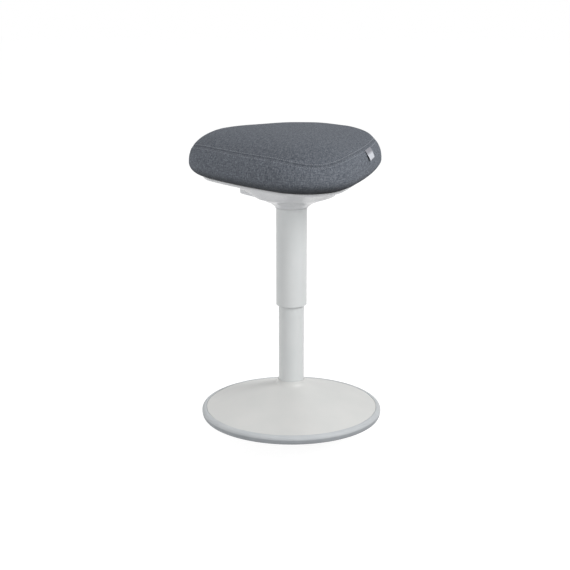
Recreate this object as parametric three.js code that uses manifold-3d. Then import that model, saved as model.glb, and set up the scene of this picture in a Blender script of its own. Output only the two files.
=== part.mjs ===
// A wobble stool: a padded three-cornered seat on a gas-lift column, standing on a round weighted base
// that leans about a rubber foot. Lengths are in millimetres. The floor is z = 0, the column stands on
// the z axis and the front of the stool is -y. A length whose name ends in DROP is measured down from
// the underside of the cushion.

import * as THREE from "three";
import { mergeVertices } from "three/addons/utils/BufferGeometryUtils.js";
import Module from "manifold-3d";

// Clearances, and how many flats stand in for a circle
const CLEARANCE = 0.3; // between pieces that touch
const OVERRUN = 5; // how far a cutter runs past what it cuts
const ROUND_STEPS = 36;
const MIDDLE_STEPS = 24;
const SMALL_STEPS = 16;
const BOLT_STEPS = 10;
const BOLT_TURN = 45; // degrees, so that the bolts stand between the gussets

// Foot: a hard tread on the floor, a soft rubber block and a steel plate, bonded together
const TREAD_R = 60;
const TREAD_THICK = 6;
const TREAD_CHAMFER = 1.5;
const CORE_R = 36;
const CORE_SPACE = 19;
const FOOT_PLATE_R = 50;
const FOOT_PLATE_THICK = 4;
const FOOT_BOLT_COUNT = 4;
const FOOT_BOLT_CIRCLE_R = 42;
const FOOT_BOLT_R = 3;
const FOOT_BOLT_HEAD_R = 5;
const FOOT_BOLT_HEAD_TALL = 4;
const FOOT_BOLT_REACH = 16;

// Base shell: the moulded underside, a shallow bowl with a well for the foot
const SHELL_WALL = 3;
const WELL_R = 66;
const RIM_R = 167.7;
const RIM_LOW_Z = 43;
const UNDERSIDE_SLOPE = 14.5; // degrees
const UNDERSIDE_BOW = 1.5; // how far the underside swells below a straight line
const UNDERSIDE_STEPS = 3;

// Base cover: the round painted plate that rises to the column
const COVER_SHEET = 2;
const COVER_OVERHANG = 1.9; // how far the plate reaches past the rim
const COVER_EDGE_Z = 59.5;
const COVER_RIM_SEAT = 6;
const COVER_EDGE_ROUND = 0.7;
const COVER_NECK_R = 38;
const COVER_NECK_Z = 103;
const COVER_BOW = 1.5; // how far the plate sags below a straight line
const COVER_STEPS = 4;
const COLLAR_TOP_Z = 116;
const COLLAR_LIP = 1.4;
const COLLAR_STEPS = 4;

// Edge ring: the soft bumper round the rim
const RING_STAND_OUT = 11.3; // how far the ring stands out past the rim
const RING_WIDE_Z = 55;
const RING_TURN_IN = 3; // how far its foot is drawn in again
const RING_TOP_LIFT = 0.4;
const RING_SHOULDER = 4.5;
const RING_STEPS = 3;

// Ballast plate and the welded socket that holds the column
const BALLAST_INSET = 63.7; // in from the rim
const BALLAST_THICK = 12;
const SOCKET_WALL = 6;
const SOCKET_TOP_Z = 98;
const GUSSET_COUNT = 4;
const GUSSET_THICK = 5;
const GUSSET_TALL = 34;
const GUSSET_MARGIN = 28.7; // in from the rim of the ballast plate
const GUSSET_TOE = 6;

// Column: the outer tube of the gas lift
const TUBE_R = 25;
const TUBE_WALL = 2;
const TUBE_FLOOR_Z = 52;
const TUBE_FLOOR_THICK = 3;
const TUBE_TOP_Z = 328;
const TUBE_TAPER = 0.7; // how much the foot of the tube narrows
const GUIDE_BUSH_TALL = 66;
const GUIDE_LIP_TALL = 2;
const GUIDE_LIP_INSET = 0.3;

// Thrust bearing on the floor of the column tube
const RACE_R = 14;
const RACE_THICK = 2.5;
const BALL_COUNT = 8;
const BALL_R = 2.2;
const BALL_CIRCLE_R = 10;
const CAGE_THICK = 1.4;
const CAGE_INSIDE_R = 7;
const CAGE_OUTSIDE_R = 13;

// Piston rod, fixed at its foot, and the piston at its top
const ROD_R = 5;
const ROD_END_Z = 46;
const ROD_GROOVE_DEEP = 1.2;
const CLIP_Z = 48;
const CLIP_THICK = 1.6;
const CLIP_R = 8;
const WASHER_THICK = 1.6;
const WASHER_R = 12;
const ROD_SHOULDER_R = 7;
const ROD_SHOULDER_TALL = 3;
const BUMP_STOP_R = 15;
const BUMP_STOP_TALL = 10;
const PISTON_DEPTH = 53; // below the top of the column tube
const PISTON_TALL = 16;
const PISTON_NECK_R = 3.5;
const PISTON_RIVET_R = 5.5;
const PISTON_RIVET_TALL = 2.2;
const PISTON_RING_LIFT = 6;
const PISTON_RING_TALL = 4;
const PISTON_RING_DEEP = 2;

// Pressure cylinder, which rides up and down with the seat
const CYLINDER_INSET = 11; // in from the face of the column tube
const CYLINDER_WALL = 1.7;
const CYLINDER_DEPTH = 118; // how far it reaches down into the column tube
const CYLINDER_TOP_DROP = 25;
const CYLINDER_TAPER = 0.8;
const CYLINDER_TAPER_TALL = 33;
const CYLINDER_HEAD_TALL = 10;
const CYLINDER_LIP = 1.5;
const ROD_GUIDE_TALL = 16;
const ROD_SEAL_TALL = 4;
const ROD_SEAL_INSET = 4; // in from the face of the cylinder
const VALVE_PIN_R = 4;
const VALVE_PIN_SUNK = 19; // how far it reaches down into the cylinder's head
const VALVE_PIN_PROUD = 5.6;
const VALVE_PIN_CHAMFER = 2;
const VALVE_FLANGE_R = 6;
const VALVE_FLANGE_TALL = 2;

// Column cover: the wide tube under the seat, with a wiper ring in its open end
const SLEEVE_STAND_OFF = 5; // out from the face of the column tube
const SLEEVE_WALL = 2;
const SLEEVE_LAP = 58; // how far it hangs down over the column tube
const SLEEVE_TOP_DROP = 59;
const SLEEVE_FLARE = 1.8;
const SLEEVE_FLARE_TALL = 6;
const FLARE_STEPS = 2;
const WIPER_TALL = 6;
const WIPER_RECESS = 0.5;

// Seat shape: three round corners joined by long, nearly straight sides
const SEAT_TURN = -16; // degrees; the lever's corner then points to the left and a little back
const CORNER_COUNT = 3;
const LEVER_CORNER_TURN = 180; // degrees, in the seat's own frame
const CORNER_OUT = 98; // from the column to the centre of each corner's arc
const CORNER_R = 105;
const SIDE_CENTRE_BACK = 776; // from the column back to the centre of each side's arc
const OFFSET_LIMIT = 55; // past this inset the outline shrinks towards the column
const CORNER_STEPS = 9;
const SIDE_STEPS = 3;

// Cushion: sides drawn in under the seat and a flat crown, as the fabric cover shows them
const CUSHION_LOW_Z = 524;
const CUSHION_TUCK = 36.5;
const CUSHION_SIDE_TALL = 24.6; // from its underside up to its widest line
const CROWN_TALL = 71.9; // from the widest line up to the top
const CROWN_PLAN_POWER = 2.75; // of the curve that the crown follows, across and up
const CROWN_RISE_POWER = 2.31;
const FABRIC = 1.8;
const HEM_INSET = 48;
const SEAM_ANGLE = 26.5; // degrees up the crown curve
const SEAM_HALF_ANGLE = 2.2;
const SEAM_DIP = 1.6;
const SIDE_ANGLES = [0, 30, 60]; // degrees round the drawn-in lower curve
const CROWN_ANGLES = [5, 13, 33, 44, 58, 74]; // degrees up the crown curve, without the seam
const TAG_WIDE = 44;
const TAG_THICK = 1.2;
const TAG_ALONG = 5; // from the middle of the side towards the back
const TAG_LOW_ANGLE = 12;
const TAG_STAND_OFF = 0.3;
const TAG_STEPS = 4;

// Seat board and the pressed steel seat plate with its taper bush
const BOARD_THICK = 10;
const BOARD_INSET = 37;
const PLATE_SHEET = 3;
const PLATE_R = 85;
const PLATE_WELL_R = 50;
const PLATE_DECK_DROP = 28;
const PLATE_WINDOW_GAP = 5; // between the bush and the lever's window
const BUSH_WALL = 5;
const BUSH_DROP = 60;
const BUSH_SHOULDER = 4; // how far it stands out
const BUSH_SHOULDER_TALL = 7;
const PLATE_SCREW_COUNT = 4;
const PLATE_SCREW_CIRCLE_R = 68;
const PLATE_SCREW_R = 2.5;
const PLATE_SCREW_HEAD_R = 5;
const PLATE_SCREW_HEAD_TALL = 3;
const SCREW_BITE = 8; // how deep the wood screws go into the board

// Seat pan: the moulded cover under the seat
const PAN_WALL = 3;
const PAN_HUB_LIP = 0.8; // how far the hub stands out past the sleeve
const PAN_BOWL_R = 85;
const PAN_BOWL_DROP = 34.5;
const PAN_FLANGE_DROP = 5.5;
const PAN_FLANGE_INSET = 50;
const PAN_EDGE_INSET = 28;
const PAN_SPIGOT_WALL = 1.4;
const PAN_SPIGOT_TALL = 9;
const PAN_SLOT_IN = 35;
const PAN_SLOT_OUT = 110;
// shares of the way from hub to bowl, across and up
const PAN_HUB_shares = [[0.12, 0.2], [0.28, 0.4], [0.5, 0.58], [0.75, 0.77]];
// shares of the way from bowl to flange, across and up
const PAN_BOWL_shares = [[0.3, 0.38], [0.66, 0.75]];
const PAN_SCREW_INSET = 68; // in from each corner of the cushion
const PAN_SCREW_R = 2;
const PAN_SCREW_HEAD_R = 4;
const PAN_SCREW_HEAD_TALL = 3;
const PAN_PILLAR_R = 6.5;
const PAN_PILLAR_DROP = 11;
const PAN_PILLAR_SEAT_DROP = 7;

// Release lever: a crank that presses the valve pin when its paddle is pulled up
const LEVER_WIDE = 22;
const LEVER_THICK = 5.5;
const LEVER_PIVOT_OUT = 37;
const LEVER_PIVOT_DROP = 23;
const LEVER_PIN_R = 3;
const LEVER_HUB_HALF = 6.5;
const LEVER_NOSE_PAST = 5;
const LEVER_NOSE_DROP = 19;
const LEVER_ROOT_DROP = 52.2;
const LEVER_TIP_OUT = 104;
const LEVER_SIDE_GAP = 1.5;
const LEVER_NOSE_CHAMFER = 2.5;
// shares of the way from the crank's foot to the tip, out and up, along the underside of the paddle
const LEVER_UNDERSIDE_shares = [[0.218, 0.351], [0.405, 0.574], [0.576, 0.713], [0.778, 0.851]];
const LEVER_TIP_DROP = 33.4;
const EAR_THICK = 3;
const EAR_WIDE = 12;
const EAR_TOP_DROP = 16;

// Worked-out radii
const coverEdgeR = RIM_R + COVER_OVERHANG;
const ringWideR = RIM_R + RING_STAND_OUT;
const ringLowR = ringWideR - RING_TURN_IN;
const ballastR = RIM_R - BALLAST_INSET;
const socketR = TUBE_R + SOCKET_WALL;
const cylinderR = TUBE_R - CYLINDER_INSET;
const cylinderBoreR = cylinderR - CYLINDER_WALL;
const rodSealR = cylinderR - ROD_SEAL_INSET;
const bushR = cylinderR + BUSH_WALL;
const bushShoulderR = bushR + BUSH_SHOULDER;
const sleeveR = TUBE_R + SLEEVE_STAND_OFF;
const panHubR = sleeveR + PAN_HUB_LIP;
const panScrewCircleR = CORNER_OUT + CORNER_R - PAN_SCREW_INSET;

// Levels from the floor up
const coreLowZ = TREAD_THICK + CLEARANCE;
const footPlateZ = TREAD_THICK + CORE_SPACE;
const wellTopZ = footPlateZ + FOOT_PLATE_THICK;
const ballastZ = wellTopZ + SHELL_WALL;
const ballastTopZ = ballastZ + BALLAST_THICK;
const rimTopZ = COVER_EDGE_Z - COVER_SHEET;
const tubeFloorTopZ = TUBE_FLOOR_Z + TUBE_FLOOR_THICK;
const cageMidZ = tubeFloorTopZ + RACE_THICK + CLEARANCE + BALL_R;
const upperRaceZ = cageMidZ + BALL_R + CLEARANCE;
const rodShoulderZ = upperRaceZ + RACE_THICK + CLEARANCE;
const cylinderLowZ = TUBE_TOP_Z - CYLINDER_DEPTH;
const sleeveLowZ = TUBE_TOP_Z - SLEEVE_LAP;
const pistonZ = TUBE_TOP_Z - PISTON_DEPTH;
const pistonRingZ = pistonZ + PISTON_RING_LIFT;

// Levels of the seat, down from the underside of the cushion and then up from it
const cylinderTopZ = CUSHION_LOW_Z - CYLINDER_TOP_DROP;
const sleeveTopZ = CUSHION_LOW_Z - SLEEVE_TOP_DROP;
const plateDeckZ = CUSHION_LOW_Z - PLATE_DECK_DROP;
const bushLowZ = CUSHION_LOW_Z - BUSH_DROP;
const panBowlZ = CUSHION_LOW_Z - PAN_BOWL_DROP;
const panFlangeZ = CUSHION_LOW_Z - PAN_FLANGE_DROP;
const pillarLowZ = CUSHION_LOW_Z - PAN_PILLAR_DROP;
const pillarSeatZ = CUSHION_LOW_Z - PAN_PILLAR_SEAT_DROP;
const leverPivotZ = CUSHION_LOW_Z - LEVER_PIVOT_DROP;
const leverNoseZ = CUSHION_LOW_Z - LEVER_NOSE_DROP;
const leverRootZ = CUSHION_LOW_Z - LEVER_ROOT_DROP;
const leverTipZ = CUSHION_LOW_Z - LEVER_TIP_DROP;
const earTopZ = CUSHION_LOW_Z - EAR_TOP_DROP;
const valvePinZ = cylinderTopZ - VALVE_PIN_SUNK;
const cushionWideZ = CUSHION_LOW_Z + CUSHION_SIDE_TALL;
const cushionTopZ = cushionWideZ + CROWN_TALL;
const boardZ = CUSHION_LOW_Z + FABRIC + CLEARANCE;
const boardTopZ = boardZ + BOARD_THICK;
const plateFlangeZ = boardZ - PLATE_SHEET;
const plateDeckLowZ = plateDeckZ - PLATE_SHEET;

const wasm = await Module();
wasm.setup();

// Solids, from meshes and back

function solidOf(geometry) {
  const bare = geometry.clone();
  bare.deleteAttribute("normal");
  bare.deleteAttribute("uv");
  const merged = mergeVertices(bare);
  return new wasm.Manifold(
    new wasm.Mesh({
      numProp: 3,
      vertProperties: merged.attributes.position.array,
      triVerts: new Uint32Array(merged.index.array),
    }),
  );
}

function geometryOf(solid) {
  const mesh = solid.getMesh();
  const geometry = new THREE.BufferGeometry();
  geometry.setAttribute("position", new THREE.BufferAttribute(mesh.vertProperties, 3));
  geometry.setIndex(new THREE.BufferAttribute(mesh.triVerts, 1));
  geometry.computeVertexNormals();
  return geometry;
}

function cut(geometry, tools) {
  let solid = solidOf(geometry);
  for (const tool of tools) solid = solid.subtract(solidOf(tool));
  return geometryOf(solid);
}

function joined(geometry, additions) {
  let solid = solidOf(geometry);
  for (const addition of additions) solid = solid.add(solidOf(addition));
  return geometryOf(solid);
}

function common(geometry, other) {
  return geometryOf(solidOf(geometry).intersect(solidOf(other)));
}

// Shapes

// A turned piece: [radius, height] points, either from axis to axis or round a closed section
function turned(profile, steps = ROUND_STEPS) {
  const area = profile.reduce((sum, [r, z], i) => {
    const [nextR, nextZ] = profile[(i + 1) % profile.length];
    return sum + r * nextZ - nextR * z;
  }, 0);
  const ordered = area < 0 ? [...profile].reverse() : [...profile];
  const onAxis = profile[0][0] === 0 && profile.at(-1)[0] === 0;
  if (!onAxis) ordered.push(ordered[0]);
  const points = ordered.map(([r, z]) => new THREE.Vector2(r, z));
  return new THREE.LatheGeometry(points, steps).rotateX(Math.PI / 2);
}

function tube(insideR, outsideR, lowZ, topZ, steps = ROUND_STEPS) {
  return turned([[insideR, lowZ], [outsideR, lowZ], [outsideR, topZ], [insideR, topZ]], steps);
}

function rod(radius, lowZ, topZ, steps = SMALL_STEPS) {
  return turned([[0, lowZ], [radius, lowZ], [radius, topZ], [0, topZ]], steps);
}

function rodAt(x, y, radius, lowZ, topZ, steps = BOLT_STEPS) {
  return rod(radius, lowZ, topZ, steps).translate(x, y, 0);
}

// A screw standing head down: a head, then a shank that reaches up
function screw(headR, shankR, headZ, seatZ, endZ) {
  const profile = [[0, headZ], [headR, headZ], [headR, seatZ], [shankR, seatZ], [shankR, endZ], [0, endZ]];
  return turned(profile, BOLT_STEPS);
}

// An outline in the x-z plane, drawn out to both sides of it along y
function drawnAcross(outline, wide) {
  const shape = new THREE.Shape(outline.map(([x, z]) => new THREE.Vector2(x, z)));
  const geometry = new THREE.ExtrudeGeometry(shape, { depth: wide, bevelEnabled: false });
  return geometry.translate(0, 0, -wide / 2).rotateX(Math.PI / 2);
}

// A skin through rows of points, each row the same number of points round the column. It is closed by
// a point at each end, or, with no end points, by joining the last row to the first.
function lofted(rows, ends) {
  const across = rows[0].length;
  const vertices = rows.flat();
  const faces = [];
  const last = ends ? rows.length - 1 : rows.length;
  for (let row = 0; row < last; row++) {
    const next = (row + 1) % rows.length;
    for (let i = 0; i < across; i++) {
      const j = (i + 1) % across;
      const here = row * across;
      const there = next * across;
      faces.push(here + i, here + j, there + j, here + i, there + j, there + i);
    }
  }
  if (ends) {
    const top = (rows.length - 1) * across;
    vertices.push(ends[0], ends[1]);
    for (let i = 0; i < across; i++) {
      const j = (i + 1) % across;
      faces.push(vertices.length - 2, j, i, vertices.length - 1, top + i, top + j);
    }
  }
  const geometry = new THREE.BufferGeometry().setFromPoints(vertices);
  geometry.setIndex(faces);
  geometry.computeVertexNormals();
  return geometry;
}

// The points of an arc of a Bezier curve from start to end, pulled towards a middle point
function bowed(start, middle, end, steps) {
  const curve = new THREE.QuadraticBezierCurve(
    new THREE.Vector2(...start),
    new THREE.Vector2(...middle),
    new THREE.Vector2(...end),
  );
  return curve.getPoints(steps).map((p) => [p.x, p.y]);
}

function degrees(angle) {
  return THREE.MathUtils.degToRad(angle);
}

function ringOf(count, radius, firstAngle = 0) {
  return Array.from({ length: count }, (_, i) => {
    const angle = degrees(firstAngle) + (2 * Math.PI * i) / count;
    return [radius * Math.cos(angle), radius * Math.sin(angle), angle];
  });
}

// Finishes

function finish(colour, roughness, metalness = 0) {
  return () => new THREE.MeshStandardMaterial({ color: colour, roughness, metalness });
}

const fabricGrey = finish(0x6a7077, 0.95);
const labelGrey = finish(0x8b8e96, 0.8);
const shellGrey = finish(0xd3d4d2, 0.5);
const panGrey = finish(0xb9babd, 0.45);
const tubeGrey = finish(0xc8cbcc, 0.4);
const ringGrey = finish(0xb5b9bd, 0.6);
const rubberBlack = finish(0x2a2b2d, 0.85);
const zincSteel = finish(0xb4b7ba, 0.4, 1);
const blackSteel = finish(0x2b2d30, 0.5, 0.8);
const polishedSteel = finish(0xd6d8da, 0.15, 1);
const nylonWhite = finish(0xe4e2da, 0.5);
const foamCream = finish(0xe9e0c4, 0.95);
const plywood = finish(0xb78d5c, 0.7);

function piece(group, name, geometry, material) {
  const mesh = new THREE.Mesh(geometry, material());
  mesh.name = name;
  group.add(mesh);
  return mesh;
}

// Foot and ballast

function makeFoot(group) {
  const tread = [
    [0, 0],
    [TREAD_R - TREAD_CHAMFER, 0],
    [TREAD_R, TREAD_CHAMFER],
    [TREAD_R, TREAD_THICK],
    [0, TREAD_THICK],
  ];
  piece(group, "foot_tread", turned(tread), rubberBlack);
  piece(group, "foot_core", rod(CORE_R, coreLowZ, footPlateZ - CLEARANCE, MIDDLE_STEPS), rubberBlack);

  const bolts = ringOf(FOOT_BOLT_COUNT, FOOT_BOLT_CIRCLE_R, BOLT_TURN);
  const boltEndZ = footPlateZ + FOOT_BOLT_REACH;
  const holes = bolts.map(([x, y]) =>
    rodAt(x, y, FOOT_BOLT_R + CLEARANCE, footPlateZ - OVERRUN, boltEndZ + CLEARANCE),
  );
  const plate = rod(FOOT_PLATE_R, footPlateZ, wellTopZ, MIDDLE_STEPS);
  piece(group, "foot_plate", cut(plate, holes), zincSteel);
  const headZ = footPlateZ - FOOT_BOLT_HEAD_TALL;
  bolts.forEach(([x, y], i) => {
    const bolt = screw(FOOT_BOLT_HEAD_R, FOOT_BOLT_R, headZ, footPlateZ, boltEndZ);
    piece(group, `foot_bolt_${i + 1}`, bolt, zincSteel).position.set(x, y, 0);
  });
  piece(group, "base_shell", cut(baseShell(), holes), shellGrey);
  piece(group, "ballast_plate", cut(rod(ballastR, ballastZ, ballastTopZ, ROUND_STEPS), holes), blackSteel);
}

// The underside swells a little below the straight line from the rim to the well
function baseShell() {
  const slope = Math.tan(degrees(UNDERSIDE_SLOPE));
  const mouthZ = RIM_LOW_Z - (RIM_R - WELL_R) * slope;
  const middle = [(RIM_R + WELL_R) / 2, (RIM_LOW_Z + mouthZ) / 2 - 2 * UNDERSIDE_BOW];
  const under = bowed([WELL_R, mouthZ], middle, [RIM_R, RIM_LOW_Z], UNDERSIDE_STEPS);
  const lift = SHELL_WALL / Math.cos(degrees(UNDERSIDE_SLOPE));
  const innerWellR = WELL_R + SHELL_WALL;
  const innerRimR = RIM_R - SHELL_WALL;
  const above = under.slice(1, -1).reverse().map(([r, z]) => [r, z + lift]);
  return turned([
    [0, wellTopZ],
    [WELL_R, wellTopZ],
    ...under,
    [RIM_R, rimTopZ],
    [innerRimR, rimTopZ],
    [innerRimR, RIM_LOW_Z + lift - SHELL_WALL * slope],
    ...above,
    [innerWellR, mouthZ + lift + SHELL_WALL * slope],
    [innerWellR, ballastZ],
    [0, ballastZ],
  ]);
}

// Socket, gussets and the outer skin of the base

// The foot of the column tube narrows as it goes down into its socket
function tubeRadiusAt(z) {
  const share = THREE.MathUtils.clamp((z - TUBE_FLOOR_Z) / (SOCKET_TOP_Z - TUBE_FLOOR_Z), 0, 1);
  return TUBE_R - TUBE_TAPER * (1 - share);
}

function makeBase(group) {
  const lowBoreR = tubeRadiusAt(TUBE_FLOOR_Z) + CLEARANCE;
  const socket = [
    [lowBoreR, ballastTopZ],
    [socketR, ballastTopZ],
    [socketR, SOCKET_TOP_Z],
    [TUBE_R + CLEARANCE, SOCKET_TOP_Z],
    [lowBoreR, TUBE_FLOOR_Z],
  ];
  piece(group, "column_socket", turned(socket, MIDDLE_STEPS), blackSteel);

  const innerR = socketR + CLEARANCE;
  const outerR = ballastR - GUSSET_MARGIN;
  const gusset = [
    [innerR, ballastTopZ],
    [outerR, ballastTopZ],
    [outerR, ballastTopZ + GUSSET_TOE],
    [innerR + GUSSET_TOE, ballastTopZ + GUSSET_TALL],
    [innerR, ballastTopZ + GUSSET_TALL],
  ];
  ringOf(GUSSET_COUNT, socketR).forEach(([, , angle], i) => {
    const mesh = piece(group, `socket_gusset_${i + 1}`, drawnAcross(gusset, GUSSET_THICK), blackSteel);
    mesh.rotation.z = angle;
  });

  piece(group, "base_cover", baseCover(), shellGrey);
  piece(group, "edge_ring", edgeRing(), ringGrey);
}

// A shallow cone of sheet that curves up into a collar round the column
function baseCover() {
  const collarR = TUBE_R + CLEARANCE;
  const slope = (COVER_NECK_Z - COVER_EDGE_Z) / (coverEdgeR - COVER_NECK_R);
  const lipR = collarR + COLLAR_LIP;
  const curlR = (lipR + COVER_NECK_R) / 2 - COLLAR_LIP;
  const curl = [curlR, COVER_NECK_Z + (COVER_NECK_R - curlR) * slope];
  const middle = [(COVER_NECK_R + coverEdgeR) / 2, (COVER_NECK_Z + COVER_EDGE_Z) / 2 - 2 * COVER_BOW];
  const collar = bowed([lipR, COLLAR_TOP_Z], curl, [COVER_NECK_R, COVER_NECK_Z], COLLAR_STEPS);
  const face = bowed([COVER_NECK_R, COVER_NECK_Z], middle, [coverEdgeR, COVER_EDGE_Z], COVER_STEPS);
  const seatR = coverEdgeR - COVER_RIM_SEAT;
  const back = face.slice(0, -1).reverse().map(([r, z]) => [r, z - COVER_SHEET]);
  return turned([
    [collarR, COLLAR_TOP_Z],
    ...collar,
    ...face.slice(1, -1),
    [coverEdgeR - COVER_EDGE_ROUND, COVER_EDGE_Z],
    [coverEdgeR, COVER_EDGE_Z - COVER_EDGE_ROUND],
    [coverEdgeR, rimTopZ],
    [seatR, rimTopZ],
    ...back,
    [collarR, COVER_NECK_Z],
  ]);
}

// The ring fills the step under the plate's edge and stands out round it
function edgeRing() {
  const insideR = RIM_R + CLEARANCE;
  const lipR = coverEdgeR + CLEARANCE;
  const topZ = COVER_EDGE_Z + RING_TOP_LIFT;
  const shoulder = [ringWideR, topZ];
  const upper = bowed([lipR + RING_SHOULDER, topZ], shoulder, [ringWideR, RING_WIDE_Z], RING_STEPS);
  const lowMiddle = [ringWideR, (RING_WIDE_Z + RIM_LOW_Z) / 2];
  const lower = bowed([ringWideR, RING_WIDE_Z], lowMiddle, [ringLowR, RIM_LOW_Z], RING_STEPS);
  return turned([
    [insideR, RIM_LOW_Z],
    [insideR, rimTopZ - CLEARANCE],
    [lipR, rimTopZ - CLEARANCE],
    [lipR, COVER_EDGE_Z],
    [lipR + RING_TOP_LIFT, topZ],
    ...upper,
    ...lower.slice(1),
  ]);
}

// Column tube with its guide bush and thrust bearing

function makeColumn(group) {
  const footR = tubeRadiusAt(TUBE_FLOOR_Z);
  const rodHoleR = ROD_R + CLEARANCE;
  const tubeProfile = [
    [rodHoleR, TUBE_FLOOR_Z],
    [footR, TUBE_FLOOR_Z],
    [TUBE_R, SOCKET_TOP_Z],
    [TUBE_R, TUBE_TOP_Z],
    [TUBE_R - TUBE_WALL, TUBE_TOP_Z],
    [TUBE_R - TUBE_WALL, SOCKET_TOP_Z],
    [footR - TUBE_WALL, tubeFloorTopZ],
    [rodHoleR, tubeFloorTopZ],
  ];
  piece(group, "column_tube", turned(tubeProfile), tubeGrey);

  const linerR = TUBE_R - TUBE_WALL - CLEARANCE;
  const bush = [
    [cylinderR + CLEARANCE, TUBE_TOP_Z - GUIDE_BUSH_TALL],
    [linerR, TUBE_TOP_Z - GUIDE_BUSH_TALL],
    [linerR, TUBE_TOP_Z],
    [TUBE_R - GUIDE_LIP_INSET, TUBE_TOP_Z],
    [TUBE_R - GUIDE_LIP_INSET, TUBE_TOP_Z + GUIDE_LIP_TALL],
    [cylinderR + CLEARANCE, TUBE_TOP_Z + GUIDE_LIP_TALL],
  ];
  piece(group, "guide_bush", turned(bush, MIDDLE_STEPS), nylonWhite);

  const raceBoreR = ROD_R + 2 * CLEARANCE;
  const lowerRace = tube(raceBoreR, RACE_R, tubeFloorTopZ, tubeFloorTopZ + RACE_THICK, SMALL_STEPS);
  piece(group, "bearing_lower_race", lowerRace, zincSteel);

  const ball = () => new THREE.IcosahedronGeometry(BALL_R, 1);
  const places = ringOf(BALL_COUNT, BALL_CIRCLE_R);
  const pockets = places.map(([x, y]) =>
    rodAt(x, y, BALL_R + CLEARANCE, cageMidZ - BALL_R, cageMidZ + BALL_R),
  );
  const cageLowZ = cageMidZ - CAGE_THICK / 2;
  const cage = tube(CAGE_INSIDE_R, CAGE_OUTSIDE_R, cageLowZ, cageLowZ + CAGE_THICK, SMALL_STEPS);
  piece(group, "bearing_cage", cut(cage, pockets), nylonWhite);
  places.forEach(([x, y], i) => {
    piece(group, `bearing_ball_${i + 1}`, ball(), polishedSteel).position.set(x, y, cageMidZ);
  });
}

// Piston rod and what it carries

function makeRod(group) {
  const boreR = ROD_R + CLEARANCE;
  const race = tube(boreR, RACE_R, upperRaceZ, upperRaceZ + RACE_THICK, SMALL_STEPS);
  piece(group, "bearing_upper_race", race, zincSteel);

  const grooveR = ROD_R - ROD_GROOVE_DEEP;
  const pistonTopZ = pistonZ + PISTON_TALL;
  const rodProfile = [
    [0, ROD_END_Z],
    [ROD_R, ROD_END_Z],
    [ROD_R, CLIP_Z],
    [grooveR, CLIP_Z],
    [grooveR, CLIP_Z + CLIP_THICK],
    [ROD_R, CLIP_Z + CLIP_THICK],
    [ROD_R, rodShoulderZ],
    [ROD_SHOULDER_R, rodShoulderZ],
    [ROD_SHOULDER_R, rodShoulderZ + ROD_SHOULDER_TALL],
    [ROD_R, rodShoulderZ + ROD_SHOULDER_TALL],
    [ROD_R, pistonZ - CLEARANCE],
    [PISTON_NECK_R, pistonZ - CLEARANCE],
    [PISTON_NECK_R, pistonTopZ + CLEARANCE],
    [PISTON_RIVET_R, pistonTopZ + CLEARANCE],
    [PISTON_RIVET_R, pistonTopZ + PISTON_RIVET_TALL],
    [0, pistonTopZ + PISTON_RIVET_TALL],
  ];
  piece(group, "piston_rod", turned(rodProfile, SMALL_STEPS), polishedSteel);

  const clipBoreR = grooveR + CLEARANCE;
  const clip = tube(clipBoreR, CLIP_R, CLIP_Z + CLEARANCE, CLIP_Z + CLIP_THICK - CLEARANCE, SMALL_STEPS);
  piece(group, "rod_clip", clip, blackSteel);
  const washerTopZ = TUBE_FLOOR_Z - CLEARANCE;
  const washer = tube(boreR, WASHER_R, washerTopZ - WASHER_THICK, washerTopZ, SMALL_STEPS);
  piece(group, "rod_washer", washer, zincSteel);

  const stopZ = rodShoulderZ + ROD_SHOULDER_TALL + CLEARANCE;
  const bumpStop = tube(boreR, BUMP_STOP_R, stopZ, stopZ + BUMP_STOP_TALL, SMALL_STEPS);
  piece(group, "bump_stop", bumpStop, rubberBlack);

  const pistonR = cylinderBoreR - CLEARANCE;
  const ringSeatR = pistonR - PISTON_RING_DEEP;
  const piston = [
    [PISTON_NECK_R + CLEARANCE, pistonZ],
    [pistonR, pistonZ],
    [pistonR, pistonRingZ],
    [ringSeatR, pistonRingZ],
    [ringSeatR, pistonRingZ + PISTON_RING_TALL],
    [pistonR, pistonRingZ + PISTON_RING_TALL],
    [pistonR, pistonTopZ],
    [PISTON_NECK_R + CLEARANCE, pistonTopZ],
  ];
  piece(group, "piston", turned(piston, SMALL_STEPS), zincSteel);
  const ringLowZ = pistonRingZ + CLEARANCE;
  const ringTopZ = pistonRingZ + PISTON_RING_TALL - CLEARANCE;
  const ring = tube(ringSeatR + CLEARANCE, pistonR, ringLowZ, ringTopZ, SMALL_STEPS);
  piece(group, "piston_ring", ring, rubberBlack);
}

// Pressure cylinder and the sleeve that hides it

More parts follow.
